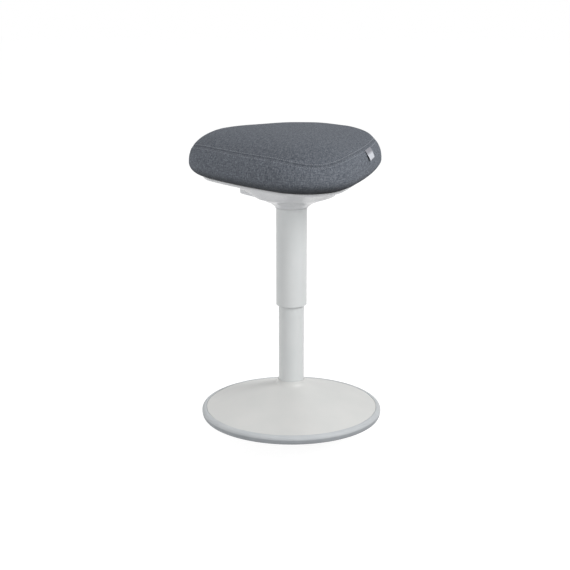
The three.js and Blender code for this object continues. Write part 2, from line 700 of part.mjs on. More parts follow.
function makeCylinder(group) {
  const taperZ = cylinderTopZ - CYLINDER_TAPER_TALL;
  const headZ = cylinderTopZ - CYLINDER_HEAD_TALL;
  const topR = cylinderR - CYLINDER_TAPER;
  const pinBoreR = VALVE_PIN_R + CLEARANCE;
  const guideR = cylinderBoreR - CLEARANCE;
  const cylinder = [
    [rodSealR, cylinderLowZ],
    [cylinderR, cylinderLowZ],
    [cylinderR, taperZ],
    [topR, cylinderTopZ],
    [pinBoreR, cylinderTopZ],
    [pinBoreR, headZ],
    [topR - CYLINDER_WALL, headZ],
    [cylinderBoreR, taperZ],
    [cylinderBoreR, cylinderLowZ + CYLINDER_LIP],
    [rodSealR, cylinderLowZ + CYLINDER_LIP],
  ];
  piece(group, "pressure_cylinder", turned(cylinder, MIDDLE_STEPS), blackSteel);

  const guideZ = cylinderLowZ + CYLINDER_LIP + CLEARANCE;
  const guide = tube(ROD_R + CLEARANCE, guideR, guideZ, guideZ + ROD_GUIDE_TALL, SMALL_STEPS);
  piece(group, "rod_guide", guide, nylonWhite);
  const sealZ = guideZ + ROD_GUIDE_TALL + CLEARANCE;
  const seal = tube(ROD_R + CLEARANCE, rodSealR, sealZ, sealZ + ROD_SEAL_TALL, SMALL_STEPS);
  piece(group, "rod_seal", seal, rubberBlack);

  const flangeTopZ = valvePinZ + VALVE_FLANGE_TALL;
  const pinTopZ = cylinderTopZ + VALVE_PIN_PROUD;
  const pin = [
    [0, valvePinZ],
    [VALVE_FLANGE_R, valvePinZ],
    [VALVE_FLANGE_R, flangeTopZ],
    [VALVE_PIN_R, flangeTopZ],
    [VALVE_PIN_R, pinTopZ - VALVE_PIN_CHAMFER],
    [VALVE_PIN_R - VALVE_PIN_CHAMFER, pinTopZ],
    [0, pinTopZ],
  ];
  piece(group, "valve_pin", turned(pin, SMALL_STEPS), zincSteel);

  const insideR = sleeveR - SLEEVE_WALL;
  const flareZ = sleeveTopZ - SLEEVE_FLARE_TALL;
  const flareEnd = [sleeveR + SLEEVE_FLARE, sleeveTopZ];
  const flareMiddle = [sleeveR, sleeveTopZ - SLEEVE_WALL];
  const flare = bowed([sleeveR, flareZ], flareMiddle, flareEnd, FLARE_STEPS);
  const sleeve = [[insideR, sleeveLowZ], [sleeveR, sleeveLowZ], ...flare, [insideR, sleeveTopZ]];
  piece(group, "column_cover", turned(sleeve), tubeGrey);
  const wiperZ = sleeveLowZ + WIPER_RECESS;
  const wiper = tube(TUBE_R + CLEARANCE, insideR - CLEARANCE, wiperZ, wiperZ + WIPER_TALL);
  piece(group, "wiper_ring", wiper, rubberBlack);
}

// Seat outline and cushion

// Angle of the normal where a corner's arc runs into a side's arc, and the radius of that side's arc
const halfCorner = Math.PI / CORNER_COUNT;
const meetAcross = SIDE_CENTRE_BACK * Math.sin(halfCorner);
const meetAlong = CORNER_OUT + SIDE_CENTRE_BACK * Math.cos(halfCorner);
const arcMeetAngle = Math.atan2(meetAcross, meetAlong);
const sideR = CORNER_R + Math.hypot(meetAcross, meetAlong);
const sideMiddle = sideR - SIDE_CENTRE_BACK;

// Each column of the outline: the centre of its arc, the radius there and the direction of its normal
function outlineColumns() {
  const columns = [];
  for (let corner = 0; corner < CORNER_COUNT; corner++) {
    const turn = degrees(LEVER_CORNER_TURN) + 2 * corner * halfCorner;
    for (let i = 0; i < CORNER_STEPS; i++) {
      const angle = turn + arcMeetAngle * ((2 * i) / CORNER_STEPS - 1);
      columns.push({
        x: CORNER_OUT * Math.cos(turn),
        y: CORNER_OUT * Math.sin(turn),
        radius: CORNER_R,
        angle,
      });
    }
    const middle = turn + halfCorner;
    const half = halfCorner - arcMeetAngle;
    for (let i = 0; i < SIDE_STEPS; i++) {
      const angle = middle + half * ((2 * i) / SIDE_STEPS - 1);
      columns.push({
        x: -SIDE_CENTRE_BACK * Math.cos(middle),
        y: -SIDE_CENTRE_BACK * Math.sin(middle),
        radius: sideR,
        angle,
      });
    }
  }
  return columns;
}

const columns = outlineColumns();

// A point of the seat outline drawn in by an inset, for one column
function outlinePoint(column, inset, z) {
  const drawn = Math.min(inset, OFFSET_LIMIT);
  const shrink = inset > OFFSET_LIMIT ? (sideMiddle - inset) / (sideMiddle - OFFSET_LIMIT) : 1;
  const reach = column.radius - drawn;
  return new THREE.Vector3(
    shrink * (column.x + reach * Math.cos(column.angle)),
    shrink * (column.y + reach * Math.sin(column.angle)),
    z,
  );
}

function outlineRow(inset, z) {
  return columns.map((column) => outlinePoint(column, inset, z));
}

// Points of the cushion's section, [inset, height], moved in from the fabric's face by a depth
function sidePoint(angle, depth) {
  const inset = CUSHION_TUCK * (1 - Math.sin(angle));
  const z = cushionWideZ - CUSHION_SIDE_TALL * Math.cos(angle);
  const normal = new THREE.Vector2(
    -Math.sin(angle) / CUSHION_TUCK,
    -Math.cos(angle) / CUSHION_SIDE_TALL,
  ).normalize();
  return [inset - depth * normal.x, z - depth * normal.y];
}

function crownPoint(angle, depth, dip = 0) {
  const across = Math.cos(angle) ** (2 / CROWN_PLAN_POWER);
  const up = Math.sin(angle) ** (2 / CROWN_RISE_POWER);
  const normal = new THREE.Vector2(
    -(across ** (CROWN_PLAN_POWER - 1)) / sideMiddle,
    up ** (CROWN_RISE_POWER - 1) / CROWN_TALL,
  ).normalize();
  const moved = depth + dip;
  return [sideMiddle * (1 - across) - moved * normal.x, cushionWideZ + CROWN_TALL * up - moved * normal.y];
}

// The section from the tuck under the seat up to the crown, with the fabric drawn in at the seam
function cushionSection(depth) {
  const sides = SIDE_ANGLES.map((angle) => sidePoint(degrees(angle), depth));
  const plain = CROWN_ANGLES.map((angle) => ({ angle, dip: 0 }));
  const seam = [-1, 0, 1].map((step) => ({
    angle: SEAM_ANGLE + step * SEAM_HALF_ANGLE,
    dip: step === 0 ? SEAM_DIP : 0,
  }));
  const crown = [...plain, ...seam].sort((a, b) => a.angle - b.angle);
  return [...sides, ...crown.map(({ angle, dip }) => crownPoint(degrees(angle), depth, dip))];
}

function makeCushion(group) {
  const apex = (depth) => new THREE.Vector3(0, 0, cushionTopZ - depth);
  const outside = cushionSection(0).map(([inset, z]) => outlineRow(inset, z));
  const inside = cushionSection(FABRIC).map(([inset, z]) => outlineRow(inset, z));
  const rows = [
    ...inside.reverse(),
    outlineRow(HEM_INSET, CUSHION_LOW_Z + FABRIC),
    outlineRow(HEM_INSET, CUSHION_LOW_Z),
    ...outside,
  ];
  piece(group, "cushion_cover", lofted(rows, [apex(FABRIC), apex(0)]), fabricGrey);

  const foamDepth = FABRIC + CLEARANCE;
  const foamZ = boardTopZ + CLEARANCE;
  const section = cushionSection(foamDepth);
  const above = section.findIndex(([, z]) => z > foamZ + CLEARANCE);
  const [lowInset, lowZ] = section[above - 1];
  const [highInset, highZ] = section[above];
  const share = (foamZ - lowZ) / (highZ - lowZ);
  const foamRows = [[lowInset + (highInset - lowInset) * share, foamZ], ...section.slice(above)];
  const foam = lofted(
    foamRows.map(([inset, z]) => outlineRow(inset, z)),
    [new THREE.Vector3(0, 0, foamZ), apex(foamDepth)],
  );
  piece(group, "foam_pad", foam, foamCream);

  piece(group, "cushion_tag", cushionTag(), labelGrey);
}

// A flat tag sewn into the seam on the right-hand side, lying down the side of the cushion
function cushionTag() {
  const low = degrees(TAG_LOW_ANGLE);
  const high = degrees(SEAM_ANGLE);
  const section = (depth) =>
    Array.from({ length: TAG_STEPS + 1 }, (_, i) => {
      const [inset, z] = crownPoint(low + ((high - low) * i) / TAG_STEPS, depth);
      return [sideMiddle - inset, z];
    });
  const outline = [...section(-TAG_STAND_OFF - TAG_THICK), ...section(-TAG_STAND_OFF).reverse()];
  return drawnAcross(outline, TAG_WIDE).translate(0, TAG_ALONG, 0);
}

// Board, seat plate and pan

function flatOutline(inset) {
  return new THREE.Shape(columns.map((column) => {
    const point = outlinePoint(column, inset, 0);
    return new THREE.Vector2(point.x, point.y);
  }));
}

function makeSeatFrame(group) {
  const plateScrews = ringOf(PLATE_SCREW_COUNT, PLATE_SCREW_CIRCLE_R, BOLT_TURN);
  const panScrews = ringOf(CORNER_COUNT, panScrewCircleR, LEVER_CORNER_TURN);
  const pilotTopZ = boardZ + SCREW_BITE + CLEARANCE;
  const plateHoleR = PLATE_SCREW_R + CLEARANCE;
  const panHoleR = PAN_SCREW_R + CLEARANCE;
  const pilots = [
    ...plateScrews.map(([x, y]) => rodAt(x, y, plateHoleR, plateFlangeZ - OVERRUN, pilotTopZ)),
    ...panScrews.map(([x, y]) => rodAt(x, y, panHoleR, pillarSeatZ - OVERRUN, pilotTopZ)),
  ];
  const boardShape = flatOutline(BOARD_INSET);
  const board = new THREE.ExtrudeGeometry(boardShape, { depth: BOARD_THICK, bevelEnabled: false });
  piece(group, "seat_board", cut(board.translate(0, 0, boardZ), pilots), plywood);

  const wellInR = PLATE_WELL_R - PLATE_SHEET;
  const plate = turned([
    [bushR + CLEARANCE, plateDeckLowZ],
    [PLATE_WELL_R, plateDeckLowZ],
    [PLATE_WELL_R, plateFlangeZ],
    [PLATE_R, plateFlangeZ],
    [PLATE_R, boardZ],
    [wellInR, boardZ],
    [wellInR, plateDeckZ],
    [bushR + CLEARANCE, plateDeckZ],
  ], MIDDLE_STEPS);
  const windowIn = bushShoulderR + PLATE_WINDOW_GAP;
  const windowWide = LEVER_WIDE + 2 * LEVER_SIDE_GAP;
  const windowOut = PLATE_WELL_R + OVERRUN;
  const leverWindow = box(windowIn, windowOut, windowWide, plateDeckLowZ - OVERRUN, earTopZ);
  piece(group, "seat_plate", cut(plate, [...pilots, leverWindow]), blackSteel);
  plateScrews.forEach(([x, y], i) => {
    const headZ = plateFlangeZ - PLATE_SCREW_HEAD_TALL;
    const body = screw(PLATE_SCREW_HEAD_R, PLATE_SCREW_R, headZ, plateFlangeZ, boardZ + SCREW_BITE);
    piece(group, `plate_screw_${i + 1}`, body, zincSteel).position.set(x, y, 0);
  });

  const taperZ = cylinderTopZ - CYLINDER_TAPER_TALL;
  const bush = [
    [cylinderR + CLEARANCE, bushLowZ],
    [bushR, bushLowZ],
    [bushR, plateDeckLowZ - BUSH_SHOULDER_TALL],
    [bushShoulderR, plateDeckLowZ - BUSH_SHOULDER_TALL],
    [bushShoulderR, plateDeckLowZ],
    [bushR, plateDeckLowZ],
    [bushR, cylinderTopZ],
    [cylinderR - CYLINDER_TAPER + CLEARANCE, cylinderTopZ],
    [cylinderR + CLEARANCE, taperZ],
  ];
  piece(group, "taper_bush", turned(bush, MIDDLE_STEPS), blackSteel);

  const panTools = [
    box(PAN_SLOT_IN, PAN_SLOT_OUT, windowWide, sleeveTopZ + CLEARANCE, panFlangeZ),
    ...panScrews.map(([x, y]) => rodAt(x, y, panHoleR, pillarSeatZ - OVERRUN, pilotTopZ)),
    ...panScrews.map(([x, y]) =>
      rodAt(x, y, PAN_SCREW_HEAD_R + CLEARANCE, panBowlZ, pillarSeatZ),
    ),
  ];
  const pillars = panScrews.map(([x, y]) =>
    rodAt(x, y, PAN_PILLAR_R, pillarLowZ, boardZ - CLEARANCE),
  );
  piece(group, "seat_pan", cut(joined(panShell(), pillars), panTools), panGrey);
  panScrews.forEach(([x, y], i) => {
    const headZ = pillarSeatZ - PAN_SCREW_HEAD_TALL;
    const body = screw(PAN_SCREW_HEAD_R, PAN_SCREW_R, headZ, pillarSeatZ, boardZ + SCREW_BITE);
    piece(group, `pan_screw_${i + 1}`, body, zincSteel).position.set(x, y, 0);
  });
}

// A block on the lever's side, from one distance out to another
function box(fromOut, toOut, wide, lowZ, topZ) {
  const geometry = new THREE.BoxGeometry(toOut - fromOut, wide, topZ - lowZ);
  return geometry.translate(-(fromOut + toOut) / 2, 0, (lowZ + topZ) / 2);
}

// The pan flows from a round hub to a three-cornered flange
function panShell() {
  const flangeColumns = columns.map((column) => outlinePoint(column, PAN_FLANGE_INSET, 0));
  const roundRow = (radius, z) =>
    flangeColumns.map((point) => {
      const reach = radius / Math.hypot(point.x, point.y);
      return new THREE.Vector3(point.x * reach, point.y * reach, z);
    });
  const blendRow = (share, z) =>
    roundRow(PAN_BOWL_R, z).map((point, i) => {
      const flange = flangeColumns[i].clone().setZ(z);
      return point.lerp(flange, share);
    });
  const hubRise = panBowlZ - sleeveTopZ;
  const hubReach = PAN_BOWL_R - panHubR;
  const bowlRise = panFlangeZ - panBowlZ;
  const skin = (lift) => [
    ...PAN_HUB_shares.map(([out, up]) =>
      roundRow(panHubR + out * hubReach, sleeveTopZ + up * hubRise + lift),
    ),
    roundRow(PAN_BOWL_R, panBowlZ + lift),
    ...PAN_BOWL_shares.map(([out, up]) => blendRow(out, panBowlZ + up * bowlRise + lift)),
  ];
  const flangeTopZ = CUSHION_LOW_Z - CLEARANCE;
  const spigotOutR = sleeveR - SLEEVE_WALL - CLEARANCE;
  const spigotInR = spigotOutR - PAN_SPIGOT_WALL;
  return lofted([
    roundRow(spigotInR, sleeveTopZ - PAN_SPIGOT_TALL),
    roundRow(spigotOutR, sleeveTopZ - PAN_SPIGOT_TALL),
    roundRow(spigotOutR, sleeveTopZ),
    roundRow(panHubR, sleeveTopZ),
    ...skin(0),
    outlineRow(PAN_FLANGE_INSET, panFlangeZ),
    outlineRow(PAN_EDGE_INSET, panFlangeZ),
    outlineRow(PAN_EDGE_INSET, flangeTopZ),
    outlineRow(PAN_FLANGE_INSET, flangeTopZ),
    ...skin(PAN_WALL).reverse(),
    roundRow(spigotInR, sleeveTopZ + PAN_WALL),
  ]);
}

// Release lever, its pivot pin and the two ears that hold the pin

function makeLever(group) {
  const topZ = leverNoseZ + LEVER_THICK;
  const crankIn = LEVER_PIVOT_OUT - LEVER_HUB_HALF;
  const crankOut = LEVER_PIVOT_OUT + LEVER_HUB_HALF;
  const tipMiddleZ = leverTipZ + LEVER_THICK / 2;
  const tipStart = LEVER_TIP_OUT - LEVER_THICK / 2;
  const underside = LEVER_UNDERSIDE_shares.map(([out, up]) => [
    LEVER_PIVOT_OUT + out * (tipStart - LEVER_PIVOT_OUT),
    leverRootZ + up * (leverTipZ - leverRootZ),
  ]);
  const outline = [
    [-LEVER_NOSE_PAST, leverNoseZ],
    [crankIn - LEVER_NOSE_CHAMFER, leverNoseZ],
    [crankIn, leverNoseZ - LEVER_NOSE_CHAMFER],
    [crankIn + CLEARANCE, (leverNoseZ + leverRootZ) / 2],
    [LEVER_PIVOT_OUT, leverRootZ],
    ...underside,
    [tipStart, leverTipZ],
    [LEVER_TIP_OUT, tipMiddleZ],
    [tipStart, leverTipZ + LEVER_THICK],
    ...underside.map(([out, z]) => [out, z + LEVER_THICK]).reverse(),
    [crankOut, underside[0][1] + 2 * LEVER_THICK],
    [crankOut, leverNoseZ],
    [crankOut - LEVER_THICK, topZ],
    [-LEVER_NOSE_PAST, topZ],
  ];
  const plan = new THREE.Shape();
  const half = LEVER_WIDE / 2;
  plan.moveTo(LEVER_NOSE_PAST + OVERRUN, -half);
  plan.lineTo(LEVER_NOSE_PAST + OVERRUN, half);
  plan.lineTo(half - LEVER_TIP_OUT, half);
  plan.absarc(half - LEVER_TIP_OUT, 0, half, Math.PI / 2, (3 * Math.PI) / 2, false);
  const tall = topZ - leverRootZ + 2 * OVERRUN;
  const planDepth = { depth: tall, bevelEnabled: false, curveSegments: BOLT_STEPS };
  const planBlock = new THREE.ExtrudeGeometry(plan, planDepth);
  const sideView = drawnAcross(outline.map(([out, z]) => [-out, z]), LEVER_WIDE + OVERRUN);
  const blank = common(sideView, planBlock.translate(0, 0, leverRootZ - OVERRUN));
  const pivotRod = (radius, wide) =>
    rod(radius, -wide / 2, wide / 2, BOLT_STEPS)
      .rotateX(Math.PI / 2)
      .translate(-LEVER_PIVOT_OUT, 0, leverPivotZ);
  const bore = pivotRod(LEVER_PIN_R + CLEARANCE, LEVER_WIDE + 4 * OVERRUN);
  piece(group, "release_lever", cut(blank, [bore]), shellGrey);

  const earMiddle = half + LEVER_SIDE_GAP + EAR_THICK / 2 + CLEARANCE;
  const pinWide = 2 * earMiddle + EAR_THICK;
  piece(group, "lever_pin", pivotRod(LEVER_PIN_R, pinWide), zincSteel);
  const earIn = LEVER_PIVOT_OUT - EAR_WIDE / 2;
  const sides = { left: -1, right: 1 };
  for (const [side, sign] of Object.entries(sides)) {
    const ear = box(earIn, earIn + EAR_WIDE, EAR_THICK, plateDeckZ, earTopZ);
    piece(group, `pivot_ear_${side}`, cut(ear.translate(0, sign * earMiddle, 0), [bore]), blackSteel);
  }
}

// The whole stool

const stool = new THREE.Group();
makeFoot(stool);
makeBase(stool);
makeColumn(stool);
makeRod(stool);
makeCylinder(stool);

const seat = new THREE.Group();
seat.rotation.z = degrees(SEAT_TURN);
makeCushion(seat);
makeSeatFrame(seat);
makeLever(seat);
stool.add(seat);

export default stool;
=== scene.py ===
import math

import bmesh
import bpy
import numpy as np
from mathutils import Matrix, Vector
from mathutils.bvhtree import BVHTree


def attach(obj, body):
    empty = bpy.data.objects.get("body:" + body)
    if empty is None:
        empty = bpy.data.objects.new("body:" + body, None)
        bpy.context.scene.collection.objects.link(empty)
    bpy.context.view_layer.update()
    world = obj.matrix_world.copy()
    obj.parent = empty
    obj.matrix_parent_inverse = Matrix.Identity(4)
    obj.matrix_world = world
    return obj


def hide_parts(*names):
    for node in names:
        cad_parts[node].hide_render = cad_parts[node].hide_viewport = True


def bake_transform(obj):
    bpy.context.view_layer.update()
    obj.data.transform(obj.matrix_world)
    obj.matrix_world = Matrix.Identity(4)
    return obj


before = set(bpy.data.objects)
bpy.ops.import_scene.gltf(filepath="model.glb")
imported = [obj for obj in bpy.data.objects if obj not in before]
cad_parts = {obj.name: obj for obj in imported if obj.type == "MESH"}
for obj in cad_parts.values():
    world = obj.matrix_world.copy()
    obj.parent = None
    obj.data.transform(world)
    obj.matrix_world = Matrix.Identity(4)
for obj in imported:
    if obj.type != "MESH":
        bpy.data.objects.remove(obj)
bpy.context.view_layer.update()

# The foot. A tread of hard black rubber stays flat on the floor, and a softer rubber core is moulded to it
# and to a zinc-plated steel plate. The core bends as the stool leans and brings it upright again.

MM = 0.001  # the stool's sizes below are in millimetres, the studio's in metres


def seen(red, green, blue):
    # A colour as the eye reads it off a swatch, turned into light for a shader
    return tuple(((c / 255 + 0.055) / 1.055) ** 2.4 for c in (red, green, blue)) + (1.0,)


def softened(corners, cuts=5):
    # A section's outline, [distance out, height, rounding], with each corner eased by its rounding
    points = []
    for i, (out, up, ease) in enumerate(corners):
        corner = Vector((out, up))
        if not ease:
            points.append(corner)
            continue
        back = Vector(corners[i - 1][:2]) - corner
        ahead = Vector(corners[(i + 1) % len(corners)][:2]) - corner
        reach = min(ease, 0.48 * back.length, 0.48 * ahead.length)
        start = corner + reach * back.normalized()
        end = corner + reach * ahead.normalized()
        for cut in range(cuts):
            t = cut / (cuts - 1)
            points.append((1 - t) ** 2 * start + 2 * t * (1 - t) * corner + t * t * end)
    return points


def smooth(mesh):
    for face in mesh.polygons:
        face.use_smooth = True


def made(name, shape, finish):
    # A finished mesh, set down in the stool's own frame
    bmesh.ops.recalc_face_normals(shape, faces=shape.faces)
    mesh = bpy.data.meshes.new(name)
    shape.to_mesh(mesh)
    shape.free()
    smooth(mesh)
    mesh.materials.append(finish)
    piece = bpy.data.objects.new(name, mesh)
    bpy.context.scene.collection.objects.link(piece)
    return piece


def even_shading(piece):
    # Wide faces keep their flat look beside the small eased edges
    piece.modifiers.new("even_shading", "WEIGHTED_NORMAL").weight = 80


def round_ring(shape, out, up, angles, x=0, y=0):
    # Points round an upright axis through x and y
    places = [(x + out * math.cos(a), y + out * math.sin(a)) for a in angles]
    return [shape.verts.new((across * MM, along * MM, up * MM)) for across, along in places]


def skinned(shape, rings, closed=False):
    # Faces between one ring of points and the next; a ring can be a single point on the axis
    count = max(len(ring) for ring in rings)
    following = rings[1:] + rings[:1] if closed else rings[1:]
    for low, high in zip(rings, following):
        for i in range(count):
            j = (i + 1) % count
            loop = [low[i % len(low)], low[j % len(low)], high[j % len(high)], high[i % len(high)]]
            corners = list(dict.fromkeys(loop))
            if len(corners) > 2:
                shape.faces.new(corners)


def turned(name, corners, finish, flats=96):
    # A piece turned on the column's axis from its section
    shape = bmesh.new()
    around = [2 * math.pi * i / flats for i in range(flats)]
    rings = [round_ring(shape, out, up, around if out else [0]) for out, up in softened(corners)]
    solid_middle = len(rings[0]) == 1 and len(rings[-1]) == 1
    skinned(shape, rings, closed=not solid_middle)
    piece = made(name, shape, finish)
    even_shading(piece)
    return piece


def fitted(piece, body, slot, *nodes):
    # The piece is fixed to its part of the stool and stands for the nodes it covers
    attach(piece, body)
    if nodes:
        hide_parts(*nodes)
    return piece


class Finish:
    # One material and the few steps that its surface is built up from

    def __init__(self, name, rough, metal=0.0, gloss=0.5):
        self.material = bpy.data.materials.new(name)
        self.material.use_nodes = True
        self.tree = self.material.node_tree
        self.shader = self.tree.nodes["Principled BSDF"]
        self.shader.inputs["Roughness"].default_value = rough
        self.shader.inputs["Metallic"].default_value = metal
        self.shader.inputs["Specular IOR Level"].default_value = gloss
        self.place = self.tree.nodes.new("ShaderNodeTexCoord").outputs["Object"]

    def step(self, kind, inputs, **settings):
        made_step = self.tree.nodes.new("ShaderNode" + kind)
        for key, value in settings.items():
            setattr(made_step, key, value)
        for key, value in inputs.items():
            if isinstance(value, bpy.types.NodeSocket):
                self.tree.links.new(value, made_step.inputs[key])
            else:
                made_step.inputs[key].default_value = value
        return made_step

    def stretched(self, place, scale):
        return self.step("Mapping", {"Vector": place, "Scale": scale}).outputs[0]

    def noise(self, place, scale=1.0, fine=2.0, rough=0.5, output="Fac"):
        inputs = {"Vector": place, "Scale": scale, "Detail": fine, "Roughness": rough}
        return self.step("TexNoise", inputs).outputs[output]

    def specks(self, size, fine=2.0, stretch=(1, 1, 1)):
        # Random mottling whose specks are about this many millimetres across
        return self.noise(self.stretched(self.place, [s / (size * MM) for s in stretch]), fine=fine)

    def apart(self, place):
        # The three coordinates of a place, each by itself
        return self.step("SeparateXYZ", {"Vector": place}).outputs

    def ranged(self, value, low, high, start=0.0, end=1.0, **settings):
        inputs = {"Value": value, "From Min": start, "From Max": end, "To Min": low, "To Max": high}
        return self.step("MapRange", inputs, **settings).outputs[0]

    def maths(self, kind, first, second=0.0):
        return self.step("Math", {0: first, 1: second}, operation=kind).outputs[0]

    def blended(self, share, first, second):
        return self.step("Mix", {"Factor": share, 6: first, 7: second}, data_type="RGBA").outputs[2]

    def toned(self, noise, dark, light, start=0.3, end=0.7):
        # One colour where the noise is low, the other where it is high
        return self.blended(self.ranged(noise, 0, 1, start, end), seen(*dark), seen(*light))

    def coloured(self, colour):
        self.tree.links.new(colour, self.shader.inputs["Base Color"])

    def roughened(self, noise, low, high):
        self.tree.links.new(self.ranged(noise, low, high, 0.3, 0.7), self.shader.inputs["Roughness"])

    def raised(self, height, depth, onto=None):
        # Relief of this many millimetres
        inputs = {"Height": height, "Distance": depth * MM, "Strength": 1.0}
        if onto:
            inputs["Normal"] = onto
        bump = self.step("Bump", inputs).outputs[0]
        self.tree.links.new(bump, self.shader.inputs["Normal"])
        return bump


def moulded(name, dark, light, rough, relief=0.03, pit=0.35, gloss=0.5):
    # Rubber or plastic out of a spark-finished mould: a fine even pitting and slow, faint clouding
    finish = Finish(name, rough, gloss=gloss)
    clouds = finish.specks(38, 3)
    pits = finish.specks(pit, 2)
    finish.coloured(finish.toned(clouds, dark, light))
    finish.roughened(pits, rough - 0.06, rough + 0.08)
    finish.raised(pits, relief)
    return finish.material


black_rubber = moulded("black_rubber", (38, 39, 41), (47, 48, 50), 0.72, relief=0.05, pit=0.8)


def plated(name, dark, light, rough):
    # Zinc on pressed steel: pale crystals and the fine lines of the rolled sheet under them
    finish = Finish(name, rough, metal=1.0)
    crystals = finish.specks(2.2, 1)
    lines = finish.specks(0.5, 2, stretch=(1, 0.04, 1))
    finish.coloured(finish.toned(crystals, dark, light, 0.35, 0.65))
    finish.roughened(lines, rough - 0.08, rough + 0.1)
    finish.raised(lines, 0.01)
    return finish.material


zinc = plated("zinc_plate", (172, 175, 178), (196, 198, 200), 0.36)

tread = turned("tread", [
    (0, 0, 0), (22, 0, 0.4), (23, 1, 0.4), (26, 1, 0.4), (27, 0, 0.4), (44, 0, 0.4), (45, 1, 0.4),
    (48, 1, 0.4), (49, 0, 0.4), (59.2, 0, 1.2), (60, 2.4, 1), (59.2, 3.2, 0.4), (60, 4, 0.6), (60, 6, 1),
    (0, 6, 0),
], black_rubber, 128)
fitted(tread, "floor", "rubber_black", "foot_tread")

# the core is made in two halves that meet at its middle rib
CORE_LOW, CORE_MIDDLE, CORE_TOP = 6.3, 15.5, 24.7
CORE_R, RIB_R, WAIST_R = 36, 35.6, 33.4
core_low = turned("core_low", [
    (0, CORE_LOW, 0), (CORE_R, CORE_LOW, 1.2), (CORE_R, 9, 2), (WAIST_R, 12, 3), (RIB_R, CORE_MIDDLE, 0),
    (0, CORE_MIDDLE, 0),
], black_rubber)
core_high = turned("core_high", [
    (0, CORE_MIDDLE, 0), (RIB_R, CORE_MIDDLE, 0), (WAIST_R, 19, 3), (CORE_R, 22, 2), (CORE_R, CORE_TOP, 1.2),
    (0, CORE_TOP, 0),
], black_rubber)
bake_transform(core_low)
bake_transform(core_high)
for half in (core_low, core_high):
    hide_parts("foot_core")

plate = turned("core_plate", [(0, 25, 0), (50, 25, 0.8), (50, 29, 0.8), (0, 29, 0)], zinc)
fitted(plate, "base", "zinc_steel", "foot_plate")

# The bolts that hold the foot's plate up into the ballast: zinc-plated, with six-sided heads and a
# chamfer all round where the head was turned after forging.


def hex_bolt(name, x, y, head_r, shank_r, head_z, seat_z, end_z):
    shape = bmesh.new()
    sides = 6
    around = [2 * math.pi * i / (4 * sides) for i in range(4 * sides)]
    head = [
        (0.62 * head_r, head_z), (0.84 * head_r, head_z + 0.05), (head_r, head_z + 0.75),
        (head_r, seat_z - 0.1), (0.99 * head_r, seat_z),
    ]
    rings = []
    for radius, z in head:
        ring = []
        for angle in around:
            flat = math.cos(math.pi / sides) / math.cos((angle % (2 * math.pi / sides)) - math.pi / sides)
            reach = radius * (flat if z > head_z + 0.5 else 1)
            ring += round_ring(shape, reach, z, [angle], x, y)
        rings.append(ring)
    for radius, z in ((shank_r, seat_z), (shank_r, end_z - 1), (0.75 * shank_r, end_z)):
        rings.append(round_ring(shape, radius, z, around, x, y))
    shape.faces.new(rings[0])
    shape.faces.new(rings[-1])
    skinned(shape, rings)
    bolt = made(name, shape, zinc)
    even_shading(bolt)
    return bolt


BOLT_CIRCLE_R = 42
for i in range(4):
    corner = math.radians(45 + 90 * i)
    x, y = BOLT_CIRCLE_R * math.cos(corner), BOLT_CIRCLE_R * math.sin(corner)
    bolt = hex_bolt(f"plate_bolt_{i + 1}", x, y, head_r=5, shank_r=3, head_z=21, seat_z=25, end_z=41)
    fitted(bolt, "base", "zinc_steel", f"foot_bolt_{i + 1}")

# The base shell. A shallow bowl moulded in grey plastic closes the base from below; its middle is sunk
# into a round well that clears the rubber foot, and its slope lets the stool lean without touching.

shell_plastic = moulded("shell_plastic", (196, 197, 196), (206, 206, 205), 0.52)

WELL_R, WELL_TOP, SHELL_R, SHELL_LOW, SHELL_TOP, SHELL_WALL = 66, 29, 167.7, 43, 57.5, 3
slope = math.tan(math.radians(14.5))
mouth_z = SHELL_LOW - (SHELL_R - WELL_R) * slope


BOW = 1.5


def bowed(share):
    # How far a wide face hangs below the straight line between its edges, the full bow at its middle
    return 4 * BOW * share * (1 - share)


under = []
for share in (0.25, 0.5, 0.75):
    out = WELL_R + share * (SHELL_R - WELL_R)
    under.append((out, mouth_z + (out - WELL_R) * slope - bowed(share), 0))
inside = [(out, z + 3.1, 0) for out, z, _ in reversed(under)]
shell = turned("base_bowl", [
    (0, WELL_TOP, 0), (64, WELL_TOP, 4), (WELL_R, 26, 0), (WELL_R, mouth_z, 2.4), *under,
    (SHELL_R, SHELL_LOW, 1.2), (SHELL_R, SHELL_TOP, 0.6), (SHELL_R - SHELL_WALL, SHELL_TOP, 0.6),
    (SHELL_R - SHELL_WALL, 45.4, 2), *inside, (WELL_R + SHELL_WALL, mouth_z + 3.9, 1.5),
    (WELL_R + SHELL_WALL, WELL_TOP + SHELL_WALL, 2), (0, WELL_TOP + SHELL_WALL, 0),
], shell_plastic, 160)
fitted(shell, "base", "shell_grey", "base_shell")

# Ballast, socket and gussets. A disc cut from thick steel plate gives the base its weight; a turned
# socket stands on it to take the column, with four gussets welded round it, all painted black.


def eased(piece, width, segments=2, sharper_than=32):
    # Rounds off every edge sharper than so many degrees, by a width in millimetres
    bevel = piece.modifiers.new("eased_edges", "BEVEL")
    bevel.width = width * MM
    bevel.segments = segments
    bevel.angle_limit = math.radians(sharper_than)
    bevel.harden_normals = True


def easy_edges(*nodes, finish, ease=0.3):
    # A hidden part of the frame keeps its shape, with its edges broken and its own finish
    for name in nodes:
        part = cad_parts[name]
        part.data.materials.clear()
        part.data.materials.append(finish)
        smooth(part.data)
        part.modifiers.new("weld", "WELD").merge_threshold = 0.01 * MM
        eased(part, ease)


